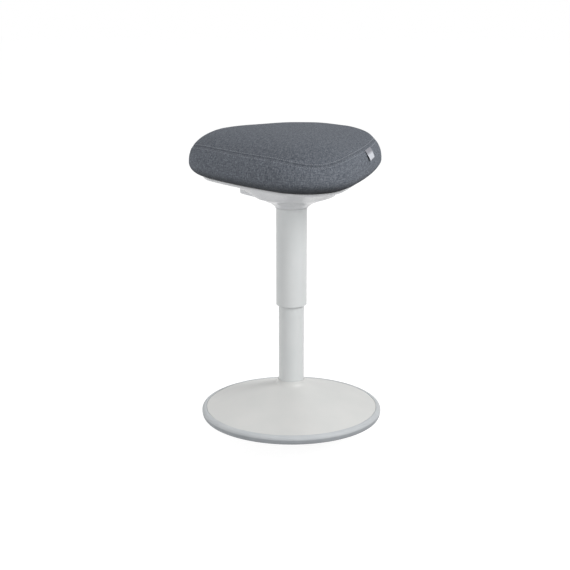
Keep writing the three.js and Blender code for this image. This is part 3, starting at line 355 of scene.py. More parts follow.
def powder_coated(name, dark, light, rough, relief=0.02):
    # Baked powder paint: a faint orange peel, a slow drift in tone and tiny dull specks
    finish = Finish(name, rough)
    drift = finish.specks(60, 2)
    peel = finish.specks(1.1, 1)
    dust = finish.specks(0.3, 2)
    finish.coloured(finish.toned(drift, dark, light))
    finish.roughened(dust, rough - 0.05, rough + 0.07)
    finish.raised(peel, relief)
    return finish.material


black_paint = powder_coated("black_paint", (36, 37, 40), (44, 45, 48), 0.42, relief=0.05)
gussets = [f"socket_gusset_{i}" for i in range(1, 5)]
easy_edges("ballast_plate", "column_socket", *gussets, finish=black_paint, ease=0.6)

# The base cover. One round sheet of steel, spun to a very shallow cone that sweeps up into a collar
# round the column, and powder-coated light grey. Its edge is folded down over the bumper ring's lip.

pale_paint = powder_coated("pale_paint", (207, 208, 206), (212, 212, 210), 0.42, relief=0.012)

CONE_R, CONE_TOP, PLATE_R, PLATE_EDGE_Z, SHEET = 38, 103, 169.6, 59.5, 2
COLLAR_R, COLLAR_TOP = 25.3, 116
cone = []
for share in (0.12, 0.25, 0.4, 0.55, 0.7, 0.85):
    out = CONE_R + share * (PLATE_R - CONE_R)
    cone.append((out, CONE_TOP + share * (PLATE_EDGE_Z - CONE_TOP) - bowed(share), 0))
under_cone = [(out, z - SHEET, 0) for out, z, _ in reversed(cone)]
cover = turned("base_plate", [
    (COLLAR_R, COLLAR_TOP, 0.5), (26.7, COLLAR_TOP, 0.6), (28, 110.4, 3), (31, 106.2, 3),
    (CONE_R, CONE_TOP, 6), *cone, (PLATE_R, PLATE_EDGE_Z, 0.9), (PLATE_R, PLATE_EDGE_Z - SHEET, 0.3),
    (163.6, PLATE_EDGE_Z - SHEET, 0.3), *under_cone, (CONE_R, CONE_TOP - SHEET, 3), (COLLAR_R, CONE_TOP, 0.3),
], pale_paint, 256)
fitted(cover, "base", "cover_grey", "base_cover")

# The bumper ring. A soft grey rubber ring is pressed round the rim and hooks over its lip; its upper face
# is a flat bevel, and its lower face turns in under the base and is painted a darker grey as painted shade.

ring_finish = Finish("ring_rubber", 0.6)
clouds = ring_finish.specks(38, 3)
pits = ring_finish.specks(0.5, 2)
# the ring's own grey above, and a darker grey painted on its lower face as painted shade
upper_tone = ring_finish.toned(clouds, (187, 191, 194), (195, 198, 200))
lower_painted_shade = ring_finish.toned(clouds, (152, 156, 160), (160, 164, 168))
LOWER_FACE_TOP, BEVEL_FOOT = 51, 53.5
height = ring_finish.apart(ring_finish.place)[2]
unshaded_share = ring_finish.ranged(height, 0, 1, LOWER_FACE_TOP * MM, BEVEL_FOOT * MM)
ring_finish.coloured(ring_finish.blended(unshaded_share, lower_painted_shade, upper_tone))
ring_finish.roughened(pits, 0.54, 0.68)
ring_finish.raised(pits, 0.02)
ring = turned("bumper_ring", [
    (168, 43, 0.5), (168, 57.2, 0.2), (169.9, 57.2, 0.2), (169.9, 59.6, 0.3), (170.6, 59.9, 0.4),
    (173.6, 59.9, 1.5), (178.2, 56.8, 2.2), (179, 52.5, 3), (177.8, 46, 3), (176, 43, 1.2),
], ring_finish.material, 256)
fitted(ring, "base", "ring_grey", "edge_ring")

# The column. A drawn steel tube stands in the socket, powder-coated like the base cover; a white nylon
# bush in its open top guides the cylinder, and the thrust bearing lies on its floor.

tube_paint = powder_coated("tube_paint", (209, 212, 212), (213, 215, 215), 0.38, relief=0.012)
TUBE_R, TUBE_BORE_R, TUBE_TOP, ROD_HOLE_R = 25, 23, 328, 5.3
tube = turned("column", [
    (ROD_HOLE_R, 52, 0.2), (24.3, 52, 0.6), (TUBE_R, 98, 2), (TUBE_R, TUBE_TOP, 0.7),
    (TUBE_BORE_R, TUBE_TOP, 0.4), (TUBE_BORE_R, 98, 1), (22.3, 55, 1), (ROD_HOLE_R, 55, 0.2),
], tube_paint, 128)
fitted(tube, "base", "tube_grey", "column_tube")

white_nylon = moulded("white_nylon", (222, 220, 212), (229, 227, 220), 0.45, relief=0.01)
bush = turned("nylon_bush", [
    (14.3, 262, 0.6), (22.7, 262, 0.6), (22.7, TUBE_TOP, 0.2), (24.7, TUBE_TOP, 0.3),
    (24.7, TUBE_TOP + 2, 0.8), (14.3, TUBE_TOP + 2, 0.8),
], white_nylon)
fitted(bush, "base", "nylon_white", "guide_bush")


def ground(name, dark, light, rough):
    # Hard steel, ground and polished: bright, with fine hoops left by the wheel
    finish = Finish(name, rough, metal=1.0)
    hoops = finish.specks(0.25, 2, stretch=(0.02, 0.02, 1))
    finish.coloured(finish.blended(hoops, seen(*dark), seen(*light)))
    finish.roughened(hoops, 0.6 * rough, 1.5 * rough)
    return finish.material


bright_steel = ground("bright_steel", (206, 208, 210), (224, 225, 226), 0.14)
easy_edges("bearing_lower_race", finish=bright_steel)
easy_edges("bearing_cage", finish=white_nylon, ease=0.1)
easy_edges(*[f"bearing_ball_{i}" for i in range(1, 9)], finish=bright_steel, ease=0)

# The piston rod. A ground steel rod is held to the tube's floor by a clip and a washer, turns on the
# bearing's upper race, and carries a rubber bump stop and, at its top, the piston and its ring.

easy_edges("bearing_upper_race", "piston_rod", finish=bright_steel)
easy_edges("rod_washer", "piston", finish=zinc)
easy_edges("rod_clip", finish=black_paint, ease=0.1)
easy_edges("bump_stop", finish=black_rubber, ease=0.8)
easy_edges("piston_ring", finish=black_rubber, ease=0.1)

# The pressure cylinder. A black steel cylinder, closed at its foot by a nylon guide and a rubber seal,
# slides in the bush as the seat goes up and down; its valve pin stands out of the tapered head.

easy_edges("pressure_cylinder", finish=black_paint)
easy_edges("rod_guide", finish=white_nylon)
easy_edges("rod_seal", finish=black_rubber)
easy_edges("valve_pin", finish=zinc)

# The column cover. A wider steel tube hangs from the seat over the column, painted to match it; it
# flares a little where the seat pan meets it, and a black wiper ring closes its lower end.

SLEEVE_BORE_R, SLEEVE_R, SLEEVE_FOOT, SLEEVE_TOP = 28, 30, 270, 465
sleeve = turned("column_sleeve", [
    (SLEEVE_BORE_R, SLEEVE_FOOT, 0.5), (SLEEVE_R, SLEEVE_FOOT, 0.8), (SLEEVE_R, 459, 2), (30.4, 462.6, 1.5),
    (31.6, SLEEVE_TOP, 0.3), (SLEEVE_BORE_R, SLEEVE_TOP, 0.3),
], tube_paint, 128)
fitted(sleeve, "seat", "tube_grey", "column_cover")

wiper = turned("sleeve_wiper", [
    (25.3, 270.5, 0.4), (27.7, 270.5, 0.8), (27.7, 276.5, 0.6), (25.3, 276.5, 0.6),
], black_rubber)
fitted(wiper, "seat", "rubber_black", "wiper_ring")

# The seat's steelwork. A pressed plate with a sunken well carries the tapered bush that the cylinder
# jams into, and two ears with a pin for the lever; four screws hold the plate up to the seat board.

easy_edges("seat_plate", "taper_bush", "pivot_ear_left", "pivot_ear_right", finish=black_paint, ease=0.5)
easy_edges("lever_pin", *[f"plate_screw_{i}" for i in range(1, 5)], finish=zinc, ease=0.2)

# The seat board. It is cut from ten-millimetre birch plywood, so its edge shows the plies in turn, and
# the screws of the plate and of the pan bite into it from below.

plies = Finish("birch_plywood", 0.62)
PLY = 1.43  # the thickness of one ply
level = plies.maths("DIVIDE", plies.apart(plies.place)[2], PLY * MM)
in_turn = plies.maths("PINGPONG", level, 1.0)
grain = plies.specks(1.6, 4, stretch=(1, 0.06, 1))
face_wood = plies.toned(grain, (214, 180, 132), (186, 148, 100), 0.3, 0.75)
plies.coloured(plies.blended(plies.ranged(in_turn, 0, 0.55, 0.45, 0.55), face_wood, seen(150, 112, 72)))
plies.raised(grain, 0.06)
easy_edges("seat_board", finish=plies.material, ease=0.4)

# The seat's outline. Three round corners are joined by long, nearly straight sides, and the whole seat
# is turned so that the lever's corner points to the left; board, pan and cushion all follow this line.

SEAT_TURN = math.radians(-16)
corner_out, corner_r, side_back = 98, 105, 776
half_corner = math.pi / 3
meet_across = side_back * math.sin(half_corner)
meet_along = corner_out + side_back * math.cos(half_corner)
meet_angle = math.atan2(meet_across, meet_along)
side_r = corner_r + math.hypot(meet_across, meet_along)
side_middle = side_r - side_back


def rim(per_corner, per_side):
    # Places round the outline: centre of the arc, its radius and the direction that faces out
    places = []
    for corner in range(3):
        turn = math.pi + 2 * corner * half_corner
        for i in range(per_corner):
            angle = turn + meet_angle * (2 * i / per_corner - 1)
            places.append((corner_out * math.cos(turn), corner_out * math.sin(turn), corner_r, angle))
        middle = turn + half_corner
        for i in range(per_side):
            angle = middle + (half_corner - meet_angle) * (2 * i / per_side - 1)
            places.append((-side_back * math.cos(middle), -side_back * math.sin(middle), side_r, angle))
    return places


SHRINKS_FROM = 55


def drawn_in(place, inset):
    # The outline moved in by an inset; further in than this, it simply shrinks towards the column
    x, y, radius, angle = place
    shrink = 1 if inset <= SHRINKS_FROM else (side_middle - inset) / (side_middle - SHRINKS_FROM)
    reach = radius - min(inset, SHRINKS_FROM)
    return Vector((shrink * (x + reach * math.cos(angle)), shrink * (y + reach * math.sin(angle))))


def with_the_seat(shape):
    # Drawn in millimetres with the lever's corner to the left, then turned with the rest of the seat
    into_place = Matrix.Rotation(SEAT_TURN, 4, "Z") @ Matrix.Scale(MM, 4)
    bmesh.ops.transform(shape, matrix=into_place, verts=shape.verts)


def wrapped(shape, rows, closed=False):
    # A skin through rows of points that all run round the column
    rings = [[shape.verts.new(point) for point in row] for row in rows]
    skinned(shape, rings, closed)
    return rings


# The seat pan. One moulding in grey plastic hides the steelwork: it fits round the column cover, opens
# like the bell of a trumpet and runs out to a three-cornered flange that lies under the cushion.

pan_plastic = moulded("pan_plastic", (214, 215, 218), (220, 221, 223), 0.24, relief=0.008, pit=0.4)

FLANGE_IN, BOWL_R, BOWL_EDGE_Z, FLANGE_Z, PAN_WALL = 50, 85, 490.8, 518.5, 3
pan_rim = rim(44, 12)
flange = [drawn_in(place, FLANGE_IN) for place in pan_rim]


def pan_ring(radius, z):
    return [Vector((*(radius * point.normalized()), z)) for point in flange]


def pan_blend(share, z):
    return [start.lerp(Vector((*end, z)), share) for start, end in zip(pan_ring(BOWL_R, z), flange)]


def pan_line(inset, z):
    return [Vector((*drawn_in(place, inset), z)) for place in pan_rim]


def flowing(points, cuts):
    # A smooth run through points, for the sweep of a moulding
    run = []
    for i in range(len(points) - 1):
        p0, p1, p2, p3 = (points[max(0, min(len(points) - 1, k))] for k in (i - 1, i, i + 1, i + 2))
        for cut in range(cuts):
            t = cut / cuts
            point = []
            for a, b, c, d in zip(p0, p1, p2, p3):
                bend = (2 * a - 5 * b + 4 * c - d) * t * t
                point.append(0.5 * (2 * b + (c - a) * t + bend + (3 * b - a - 3 * c + d) * t ** 3))
            run.append(tuple(point))
    return run + [tuple(points[-1])]


# distance out and height, from the hub to the edge of the bowl; then share across and height to the flange
bell = flowing([
    (30.8, SLEEVE_TOP), (37.3, 470.2), (46, 476), (57.9, 481), (71.5, 485.7), (BOWL_R, BOWL_EDGE_Z),
], 4)
sweep = flowing([(0, BOWL_EDGE_Z), (0.3, 501), (0.66, 511.4), (1, FLANGE_Z)], 4)[1:]

# how far out along the lever, and how high the pan's underside is there beside it
beside_lever = np.array([
    (30, 470), (33.7, 476.2), (39.8, 480.7), (45.8, 484.3), (53.8, 487.8), (60, 490.2), (68, 492.4),
    (88, 498.3), (102, 500.9), (125, 503),
])
SLOT_HALF = 12.5  # half the width of the lever's slot


def hollowed(row, lift):
    # Room for the fingers: the underside is lifted clear of the lever and runs out smoothly to either side
    lifted = []
    for x, y, z in row:
        roof = np.interp(-x, *beside_lever.T) + 0.2 * max(abs(y) - SLOT_HALF, 0)
        short = roof - (z - lift)
        reach = np.interp(-x, (26, 36, 98, 125), (0, 1, 1, 0)) * math.exp(-(y / 68) ** 6)
        lifted.append(Vector((x, y, z + reach * 0.5 * (short + math.hypot(short, 2)))))
    return lifted


def pan_skin(lift):
    rows = [pan_ring(out, z + lift) for out, z in bell]
    rows += [pan_blend(share, z + lift) for share, z in sweep[:-1]]
    return [hollowed(row, lift) for row in rows]


# the spigot that stands in the column cover, then the underside, the lip at the edge and the inside
spigot = [(26.3, 456.2), (26.5, 456), (27.5, 456), (27.7, 456.2), (27.7, 464.9), (30.6, SLEEVE_TOP)]
lip = [
    (FLANGE_IN, FLANGE_Z), (40, 518.2), (30.6, 518.2), (29.1, 518.6), (28.2, 519.6), (28, 521), (28, 522.3),
    (28.3, 523.3), (29.2, 523.7), (FLANGE_IN, 523.7),
]
shape = bmesh.new()
wrapped(shape, [
    *[pan_ring(out, z) for out, z in spigot], *pan_skin(0)[1:], *[pan_line(inset, z) for inset, z in lip],
    *reversed(pan_skin(PAN_WALL)), pan_ring(26.3, SLEEVE_TOP + PAN_WALL),
], closed=True)
with_the_seat(shape)
pan = made("pan_moulding", shape, pan_plastic)


def round_bar(length, radius):
    shape = bmesh.new()
    bmesh.ops.create_cone(shape, cap_ends=True, segments=32, radius1=radius, radius2=radius, depth=length)
    return shape


def drilled(name, x, y, radius, low, top):
    # An upright bar, to be joined on as a pillar or cut away as a hole
    shape = round_bar(top - low, radius)
    bmesh.ops.translate(shape, vec=(x, y, (low + top) / 2), verts=shape.verts)
    with_the_seat(shape)
    return made(name, shape, pan_plastic)


def prism(name, near, far, finish):
    # A solid with straight sides between two like outlines
    shape = bmesh.new()
    ends = [[shape.verts.new(point) for point in outline] for outline in (near, far)]
    shape.faces.new(ends[0])
    shape.faces.new(ends[1])
    skinned(shape, ends)
    with_the_seat(shape)
    return made(name, shape, finish)


def worked(piece, tool, kind):
    # Joins a tool's shape to the piece or cuts it away, and puts the tool aside
    step = piece.modifiers.new(kind.lower(), "BOOLEAN")
    step.operation = kind
    step.solver = "EXACT"
    step.object = tool
    bpy.context.view_layer.objects.active = piece
    bpy.ops.object.modifier_apply(modifier=step.name)
    bpy.data.objects.remove(tool)


SCREW_CIRCLE_R = 135
screw_angles = [math.pi + 2 * i * half_corner for i in range(3)]
screw_places = [(SCREW_CIRCLE_R * math.cos(a), SCREW_CIRCLE_R * math.sin(a)) for a in screw_angles]
for x, y in screw_places:
    worked(pan, drilled("pillar", x, y, radius=6.5, low=513, top=525.8), "UNION")
for x, y in screw_places:
    worked(pan, drilled("screw_way", x, y, radius=4.3, low=489.5, top=517), "DIFFERENCE")
    worked(pan, drilled("screw_hole", x, y, radius=2.3, low=510, top=530), "DIFFERENCE")

# the lever's slot is round at its outer end and blunt towards the column
slot_line = []
for end_x, end_reach, turned_by in ((-97.5, SLOT_HALF, math.pi / 2), (-40, 5, -math.pi / 2)):
    for i in range(16):
        angle = turned_by + math.pi * i / 15
        slot_line.append((end_x + end_reach * math.cos(angle), SLOT_HALF * math.sin(angle)))
slot_foot = [(x, y, 465.4) for x, y in slot_line]
slot_roof = [(x, y, 518.1) for x, y in slot_line]
worked(pan, prism("lever_slot", slot_foot, slot_roof, pan_plastic), "DIFFERENCE")
pan.data.materials.clear()
pan.data.materials.append(pan_plastic)
smooth(pan.data)
eased(pan, 0.35, sharper_than=38)
fitted(pan, "seat", "pan_grey", "seat_pan")

# The pan's screws. Three zinc-plated screws with round heads and a cross in each go up through the
# pan's pillars into the board.


def cross_screw(name, x, y, head_r, shank_r, head_z, seat_z, end_z):
    screw = turned(name, [
        (0, head_z, 0), (0.5 * head_r, head_z + 0.2, 1), (head_r, head_z + 1.6, 1), (head_r, seat_z, 0.3),
        (shank_r, seat_z, 0.1), (shank_r, end_z - 2, 0.2), (0, end_z, 0),
    ], zinc, 40)
    for quarter in (0, math.pi / 2):
        shape = bmesh.new()
        bmesh.ops.create_cube(shape, size=1)
        bmesh.ops.scale(shape, vec=(1.1 * head_r, 0.22 * head_r, 1.6), verts=shape.verts)
        bmesh.ops.translate(shape, vec=(0, 0, head_z + 0.5), verts=shape.verts)
        bmesh.ops.rotate(shape, cent=(0, 0, 0), matrix=Matrix.Rotation(quarter, 3, "Z"), verts=shape.verts)
        bmesh.ops.scale(shape, vec=(MM, MM, MM), verts=shape.verts)
        worked(screw, made("cross", shape, zinc), "DIFFERENCE")
    turn = Matrix.Rotation(SEAT_TURN, 4, "Z")
    screw.data.transform(turn @ Matrix.Translation((x * MM, y * MM, 0)))
    return screw


for i, (x, y) in enumerate(screw_places):
    screw = cross_screw(f"pan_fixing_{i + 1}", x, y, head_r=4, shank_r=2, head_z=514, seat_z=517, end_z=534)
    fitted(screw, "seat", "zinc_steel", f"pan_screw_{i + 1}")

# The release lever. A crank of satin grey plastic turns on its pin inside the pan: its nose lies over
# the valve pin, and its paddle comes out through the slot and runs along under the seat.

lever_plastic = moulded("lever_plastic", (218, 219, 222), (224, 225, 227), 0.24, relief=0.008, pit=0.6)

LEVER_HALF, LEVER_PIN = 11, (-37, 0, 501)
under_paddle = flowing([
    (37, 471.9), (48.3, 476.2), (56.4, 478.8), (64.5, 481), (76.6, 483.5), (89, 486), (101, 488.4),
], 3)
over_paddle = flowing([(54, 490.5), (60, 492.4), (68, 494.6), (80, 497.2), (92, 499), (100, 499.8)], 3)
side_view = softened([
    (-5, 505, 0.8), (28, 505, 1.5), (30.5, 502.5, 1.5), (31, 488, 3), (34, 474, 5),
    *[(x, z, 0) for x, z in under_paddle[1:-1]], (102.4, 488.6, 2), (104, 494, 3), (103.4, 500, 2.5),
    *[(x, z, 0) for x, z in reversed(over_paddle)], (43.5, 489.5, 4), (43.5, 505, 3), (38.5, 510.5, 3),
    (-5, 510.5, 0.8),
])
right_side, left_side = [[(-out, y, z) for out, z in side_view] for y in (-LEVER_HALF, LEVER_HALF)]
lever = prism("lever_paddle", right_side, left_side, lever_plastic)
# seen from above, the crank's end is square and the paddle's end is round
plan = [(10, -LEVER_HALF), (10, LEVER_HALF)]
for i in range(25):
    angle = math.pi * i / 24
    plan.append((-93 - LEVER_HALF * math.sin(angle), LEVER_HALF * math.cos(angle)))
below_lever, above_lever = [[(x, y, z) for x, y in plan] for z in (460, 520)]
worked(lever, prism("plan", below_lever, above_lever, lever_plastic), "INTERSECT")
shape = round_bar(length=60, radius=3.3)
bmesh.ops.rotate(shape, cent=(0, 0, 0), matrix=Matrix.Rotation(math.pi / 2, 3, "X"), verts=shape.verts)
bmesh.ops.translate(shape, vec=LEVER_PIN, verts=shape.verts)
with_the_seat(shape)
worked(lever, made("pin_bore", shape, lever_plastic), "DIFFERENCE")
smooth(lever.data)
eased(lever, 2.2, segments=5, sharper_than=40)
fitted(lever, "lever", "lever_grey", "release_lever")

# The cushion's shape. Moulded foam under a woven cover: the sides are drawn in under the board, and
# the crown is nearly flat. A sewn seam runs all the way round, a little below the edge of the top.

WIDEST_Z, TUCK_IN, TUCK_DOWN, CROWN_UP = 548.6, 36.5, 24.6, 71.9
FLATNESS, SHOULDER = 2.75, 2.31  # 2 would be an ellipse; more gives a flatter crown and a fuller shoulder


def side_point(angle, depth):
    # [inset, height] on the drawn-in lower curve, set in from the cover's face by a depth
    inset = TUCK_IN * (1 - math.sin(angle))
    z = WIDEST_Z - TUCK_DOWN * math.cos(angle)
    out = Vector((-math.sin(angle) / TUCK_IN, -math.cos(angle) / TUCK_DOWN)).normalized()
    return inset - depth * out.x, z - depth * out.y


def crown_point(angle, depth):
    # [inset, height] on the crown's curve, from the widest line up to the middle
    across = max(math.cos(angle), 0) ** (2 / FLATNESS)
    up = math.sin(angle) ** (2 / SHOULDER)
    out = Vector((-(across ** (FLATNESS - 1)) / side_middle, up ** (SHOULDER - 1) / CROWN_UP)).normalized()
    return side_middle * (1 - across) - depth * out.x, WIDEST_Z + CROWN_UP * up - depth * out.y


def section_line(depth):
    # The whole section from the tuck under the seat to the middle of the crown, as many short steps
    lower = [side_point(math.radians(a), depth) for a in np.linspace(0, 90, 60, endpoint=False)]
    upper = [crown_point(math.radians(a), depth) for a in np.linspace(0.15, 90, 400)]
    line = np.array(lower + upper)
    steps = np.hypot(*np.diff(line, axis=0).T)
    return line, np.concatenate([[0], np.cumsum(steps)])


def seam_at(angle):
    # Length along the section at which the seam lies, for its angle up the crown
    return float(np.interp(crown_point(angle, 0)[1], outer_line[:, 1], outer_length))


outer_line, outer_length = section_line(0)
SEAM_ANGLE = 24  # degrees up the crown, on average
seam_length = seam_at(math.radians(SEAM_ANGLE))


def at_length(length, line, lengths):
    return float(np.interp(length, lengths, line[:, 0])), float(np.interp(length, lengths, line[:, 1]))


# rows of the cover, as lengths along the section: close together at the seam, wide apart on the crown
row_lengths = list(np.arange(0, seam_length - 11, 3.4))
past_seam = np.array([0.8, 1.6, 2.4, 3.2, 4, 4.8, 5.8, 7, 8.5, 10])
row_lengths += list(seam_length + np.concatenate([-past_seam[::-1], [0], past_seam]))
step = 2.2
while row_lengths[-1] + step < outer_length[-1] - 3:
    row_lengths.append(row_lengths[-1] + step)
    step = min(step * 1.12, 7.5)
row_lengths = np.array(row_lengths)
seam_row = int(np.argmin(abs(row_lengths - seam_length)))

cover_rim = rim(270, 48)
around = len(cover_rim)
off_corner = np.array([
    min(abs((place[3] - math.pi - 2 * k * half_corner + math.pi) % (2 * math.pi) - math.pi) for k in range(3))
    for place in cover_rim
])
# the seam is lowest at the corners and rises along the sides between them
SEAM_LOWEST, SEAM_RISES, CORNER_SPREAD = 20.5, 8.5, 33  # degrees up the crown, and round it
seam_rise = []
for off in off_corner:
    along_side = 1 - math.exp(-(off / math.radians(CORNER_SPREAD)) ** 2)
    seam_rise.append(seam_at(math.radians(SEAM_LOWEST + SEAM_RISES * along_side)) - seam_length)
seam_rise = np.array(seam_rise)
widest = np.array([drawn_in(place, 0) for place in cover_rim])
round_steps = np.hypot(*(np.roll(widest, -1, axis=0) - widest).T)
round_length = np.concatenate([[0], np.cumsum(round_steps)])  # millimetres of yarn round the side band

points = np.zeros((len(row_lengths), around, 3))
for row, length in enumerate(row_lengths):
    lengths = length + seam_rise * math.exp(-((length - seam_length) / 38) ** 2)
    for column, place in enumerate(cover_rim):
        inset, z = at_length(lengths[column], outer_line, outer_length)
        points[row, column] = (*drawn_in(place, inset), z)


def facing(points):
    # The direction that each point of a grid of rows faces, outward
    along = np.roll(points, -1, axis=1) - np.roll(points, 1, axis=1)
    up = np.gradient(points, axis=0)
    out = np.cross(along, up)
    return out / np.linalg.norm(out, axis=2, keepdims=True)


# The stuffing's push. The cover is set in a little, held along its seam and its hem, and blown up as
# cloth, so that the crown and the side band swell between them as fabric over foam does.

swell = np.zeros(points.shape[:2])
set_in, voxel, hem_top, probe = 2.0, 5, 531, 16
loose = points - set_in * facing(points)
shape = bmesh.new()
skip = 6
peak = (0, 0, loose[-1, :, 2].mean() + 0.3)
rings = wrapped(shape, [row[::skip] for row in loose[::2]] + [[peak]])
shape.faces.new(rings[0])
bmesh.ops.scale(shape, vec=(MM, MM, MM), verts=shape.verts)
stuffed = made("stuffed", shape, black_rubber)
bpy.context.view_layer.objects.active = stuffed
remesh = stuffed.modifiers.new("remesh", "REMESH")
remesh.mode = "VOXEL"
remesh.voxel_size = voxel * MM
bpy.ops.object.modifier_apply(modifier=remesh.name)
held = stuffed.vertex_groups.new(name="held")
seam_ring = loose[seam_row] * MM
for vertex in stuffed.data.vertices:
    apart_from_seam = np.linalg.norm(seam_ring - np.array(vertex.co), axis=1).min()
    if apart_from_seam < voxel * MM or vertex.co.z < hem_top * MM:
        held.add([vertex.index], 1.0, "REPLACE")
cloth = stuffed.modifiers.new("cloth", "CLOTH")
feel = cloth.settings
feel.quality = 6
feel.mass = 0.25
feel.tension_stiffness = 25
feel.compression_stiffness = 25
feel.shear_stiffness = 10
feel.bending_stiffness = 0.8
feel.use_pressure = True
feel.uniform_pressure_force = 4
feel.effector_weights.gravity = 0
feel.vertex_group_mass = "held"
for frame_number in range(1, 21):
    bpy.context.scene.frame_set(frame_number)
bpy.ops.object.modifier_apply(modifier=cloth.name)
bpy.context.scene.frame_set(1)
finer = stuffed.modifiers.new("finer", "SUBSURF")
finer.levels = 1
bpy.ops.object.modifier_apply(modifier=finer.name)
skin = BVHTree.FromPolygons(
    [vertex.co / MM for vertex in stuffed.data.vertices],
    [list(face.vertices) for face in stuffed.data.polygons],
)
bpy.data.objects.remove(stuffed)
out = facing(points)
for row in range(points.shape[0]):
    for column in range(around):
        start = Vector(points[row, column] + probe * out[row, column])
        depth = skin.ray_cast(start, Vector(-out[row, column]), 2.5 * probe)[3]
        swell[row, column] = -set_in if depth is None else probe - depth
swell = np.clip(swell + set_in, -0.5, 4.0)
for _ in range(14):
    up_down = np.pad(swell, ((1, 1), (0, 0)), mode="edge")
    neighbours = np.roll(swell, 1, 1) + np.roll(swell, -1, 1) + up_down[:-2] + up_down[2:]
    swell = 0.4 * swell + 0.15 * neighbours

# The seam. The top and the side band are joined in a narrow furrow with the edges pressed apart under
# it, and a row of stitches either side holds them down; the band is eased in at the corners in gathers.

STITCH_ROW = 4.0  # from the furrow to each row of stitches
from_seam = row_lengths - seam_length
furrow = np.exp(-(from_seam / 0.85) ** 2)
held_down = 0.4 * np.exp(-((abs(from_seam) - STITCH_ROW) / 0.8) ** 2)
pressed_edges = 0.3 * np.exp(-((abs(from_seam) - 1.9) / 0.9) ** 2)
at_corner = np.exp(-(off_corner / 0.8) ** 4)
GATHER = 4.3  # from one gather to the next
length_round = round_length[:-1]
gather_wave = 2 * math.pi * round(round_length[-1] / GATHER) / round_length[-1]
uneven = 0.7 * np.sin(length_round / 31.0) + 0.4 * np.sin(length_round / 12.7)
ripple = np.sin(gather_wave * length_round + uneven)
puckers = np.sin(0.5 * gather_wave * length_round + 0.6 * np.sin(length_round / 23.0))
below = np.where(from_seam < -STITCH_ROW, np.exp((from_seam + STITCH_ROW) / 13.0), 0)
above = np.where(from_seam > STITCH_ROW, np.exp(-(from_seam - STITCH_ROW) / 3.0), 0)
furrow_depth = 0.75 + at_corner * (0.6 + 0.7 * puckers)
relief = swell - (held_down - pressed_edges)[:, None] - furrow[:, None] * furrow_depth
relief += 0.5 * at_corner * ripple * (below + 0.4 * above)[:, None]


def gently(share):
    # From nought to one, easing off at both ends
    return share ** 2 * (3 - 2 * share)


# the foam is never quite even: the crown is a little fuller at the back and over the tag than between them
world_x = points[:, :, 0] * math.cos(SEAT_TURN) - points[:, :, 1] * math.sin(SEAT_TURN)
world_y = points[:, :, 0] * math.sin(SEAT_TURN) + points[:, :, 1] * math.cos(SEAT_TURN)
fuller = 1.8 * np.exp(-((world_x + 10) / 45) ** 2) - 1.8 * np.exp(-((world_x - 95) / 32) ** 2)
fuller += 3.0 * np.exp(-((world_x - 168) / 25) ** 2)
towards_back = gently(np.clip((world_y + 20) / 80, 0, 1))
above_seam = np.where(from_seam > 0, 1 - np.exp(-(from_seam / 16.0) ** 2), 0)
relief += fuller * towards_back * above_seam[:, None]
points = points + relief[:, :, None] * facing(points)
# and the side under the tag stands out a little further than the other two
stands_out = 1.7 * gently(np.clip((world_x - 95) / 70, 0, 1))
points[:, :, 0] += stands_out * math.cos(SEAT_TURN)
points[:, :, 1] -= stands_out * math.sin(SEAT_TURN)

# The cover's fabric. A dense two-tone yarn, mid grey with lighter and darker fibres in it, woven small;
# the nap takes the light softly at glancing angles.

weave = Finish("melange_fabric", 0.95, gloss=0.2)
weave.shader.inputs["Sheen Weight"].default_value = 0.08
weave.shader.inputs["Sheen Roughness"].default_value = 0.5
weave.shader.inputs["Sheen Tint"].default_value = seen(190, 196, 205)
YARN = 1.5  # millimetres from one yarn to the next
cloth_place = weave.step("UVMap", {}, uv_map="cloth").outputs[0]
yarns = weave.stretched(cloth_place, (1 / (YARN * MM),) * 3)
pulled = weave.noise(yarns, 0.35, fine=1.0, output="Color")
drift = weave.step("VectorMath", {0: pulled, 1: (0.5, 0.5, 0.5)}, operation="SUBTRACT").outputs[0]
drift = weave.step("VectorMath", {0: drift, "Scale": 0.5}, operation="SCALE").outputs[0]
yarns = weave.step("VectorMath", {0: yarns, 1: drift}, operation="ADD").outputs[0]
split = weave.apart(yarns)
warp_wave = weave.maths("SINE", weave.maths("MULTIPLY", split[0], math.pi))
weft_wave = weave.maths("SINE", weave.maths("MULTIPLY", split[1], math.pi))
warp_is_over = weave.ranged(weave.maths("MULTIPLY", warp_wave, weft_wave), 0, 1, -0.25, 0.25)


def woven(weft, warp):
    # What the weft gives where it lies on top, and what the warp gives elsewhere
    return weave.step("Mix", {"Factor": warp_is_over, 2: weft, 3: warp}, data_type="FLOAT").outputs[0]


height = woven(weave.maths("ABSOLUTE", weft_wave), weave.maths("ABSOLUTE", warp_wave))
along_weft = weave.noise(weave.stretched(yarns, (0.45, 2.6, 1)), fine=3.0, rough=0.65)
along_warp = weave.noise(weave.stretched(yarns, (2.6, 0.45, 1)), fine=3.0, rough=0.65)
heather = weave.noise(cloth_place, 330.0, fine=3.0, rough=0.7)
fibres = weave.maths("MULTIPLY", woven(along_weft, along_warp), 0.6)
tone = weave.maths("ADD", fibres, weave.maths("MULTIPLY", heather, 0.4))
# yarns spun from lighter and darker fibre run through the cloth as short streaks
streaks = []
for stretch in ((110, 420, 1), (420, 110, 1)):
    streaks.append(weave.noise(weave.stretched(cloth_place, stretch), rough=0.6))
slub = weave.ranged(weave.maths("ADD", *streaks), -0.1, 0.1, 0.7, 1.3)
across_cloth = weave.apart(cloth_place)[1]


def more_on_band(gain):
    # One on the top, and the gain on the band, which lies two metres off on the cloth's pattern
    return weave.ranged(across_cloth, 1.0, gain, 0.99, 1.01)


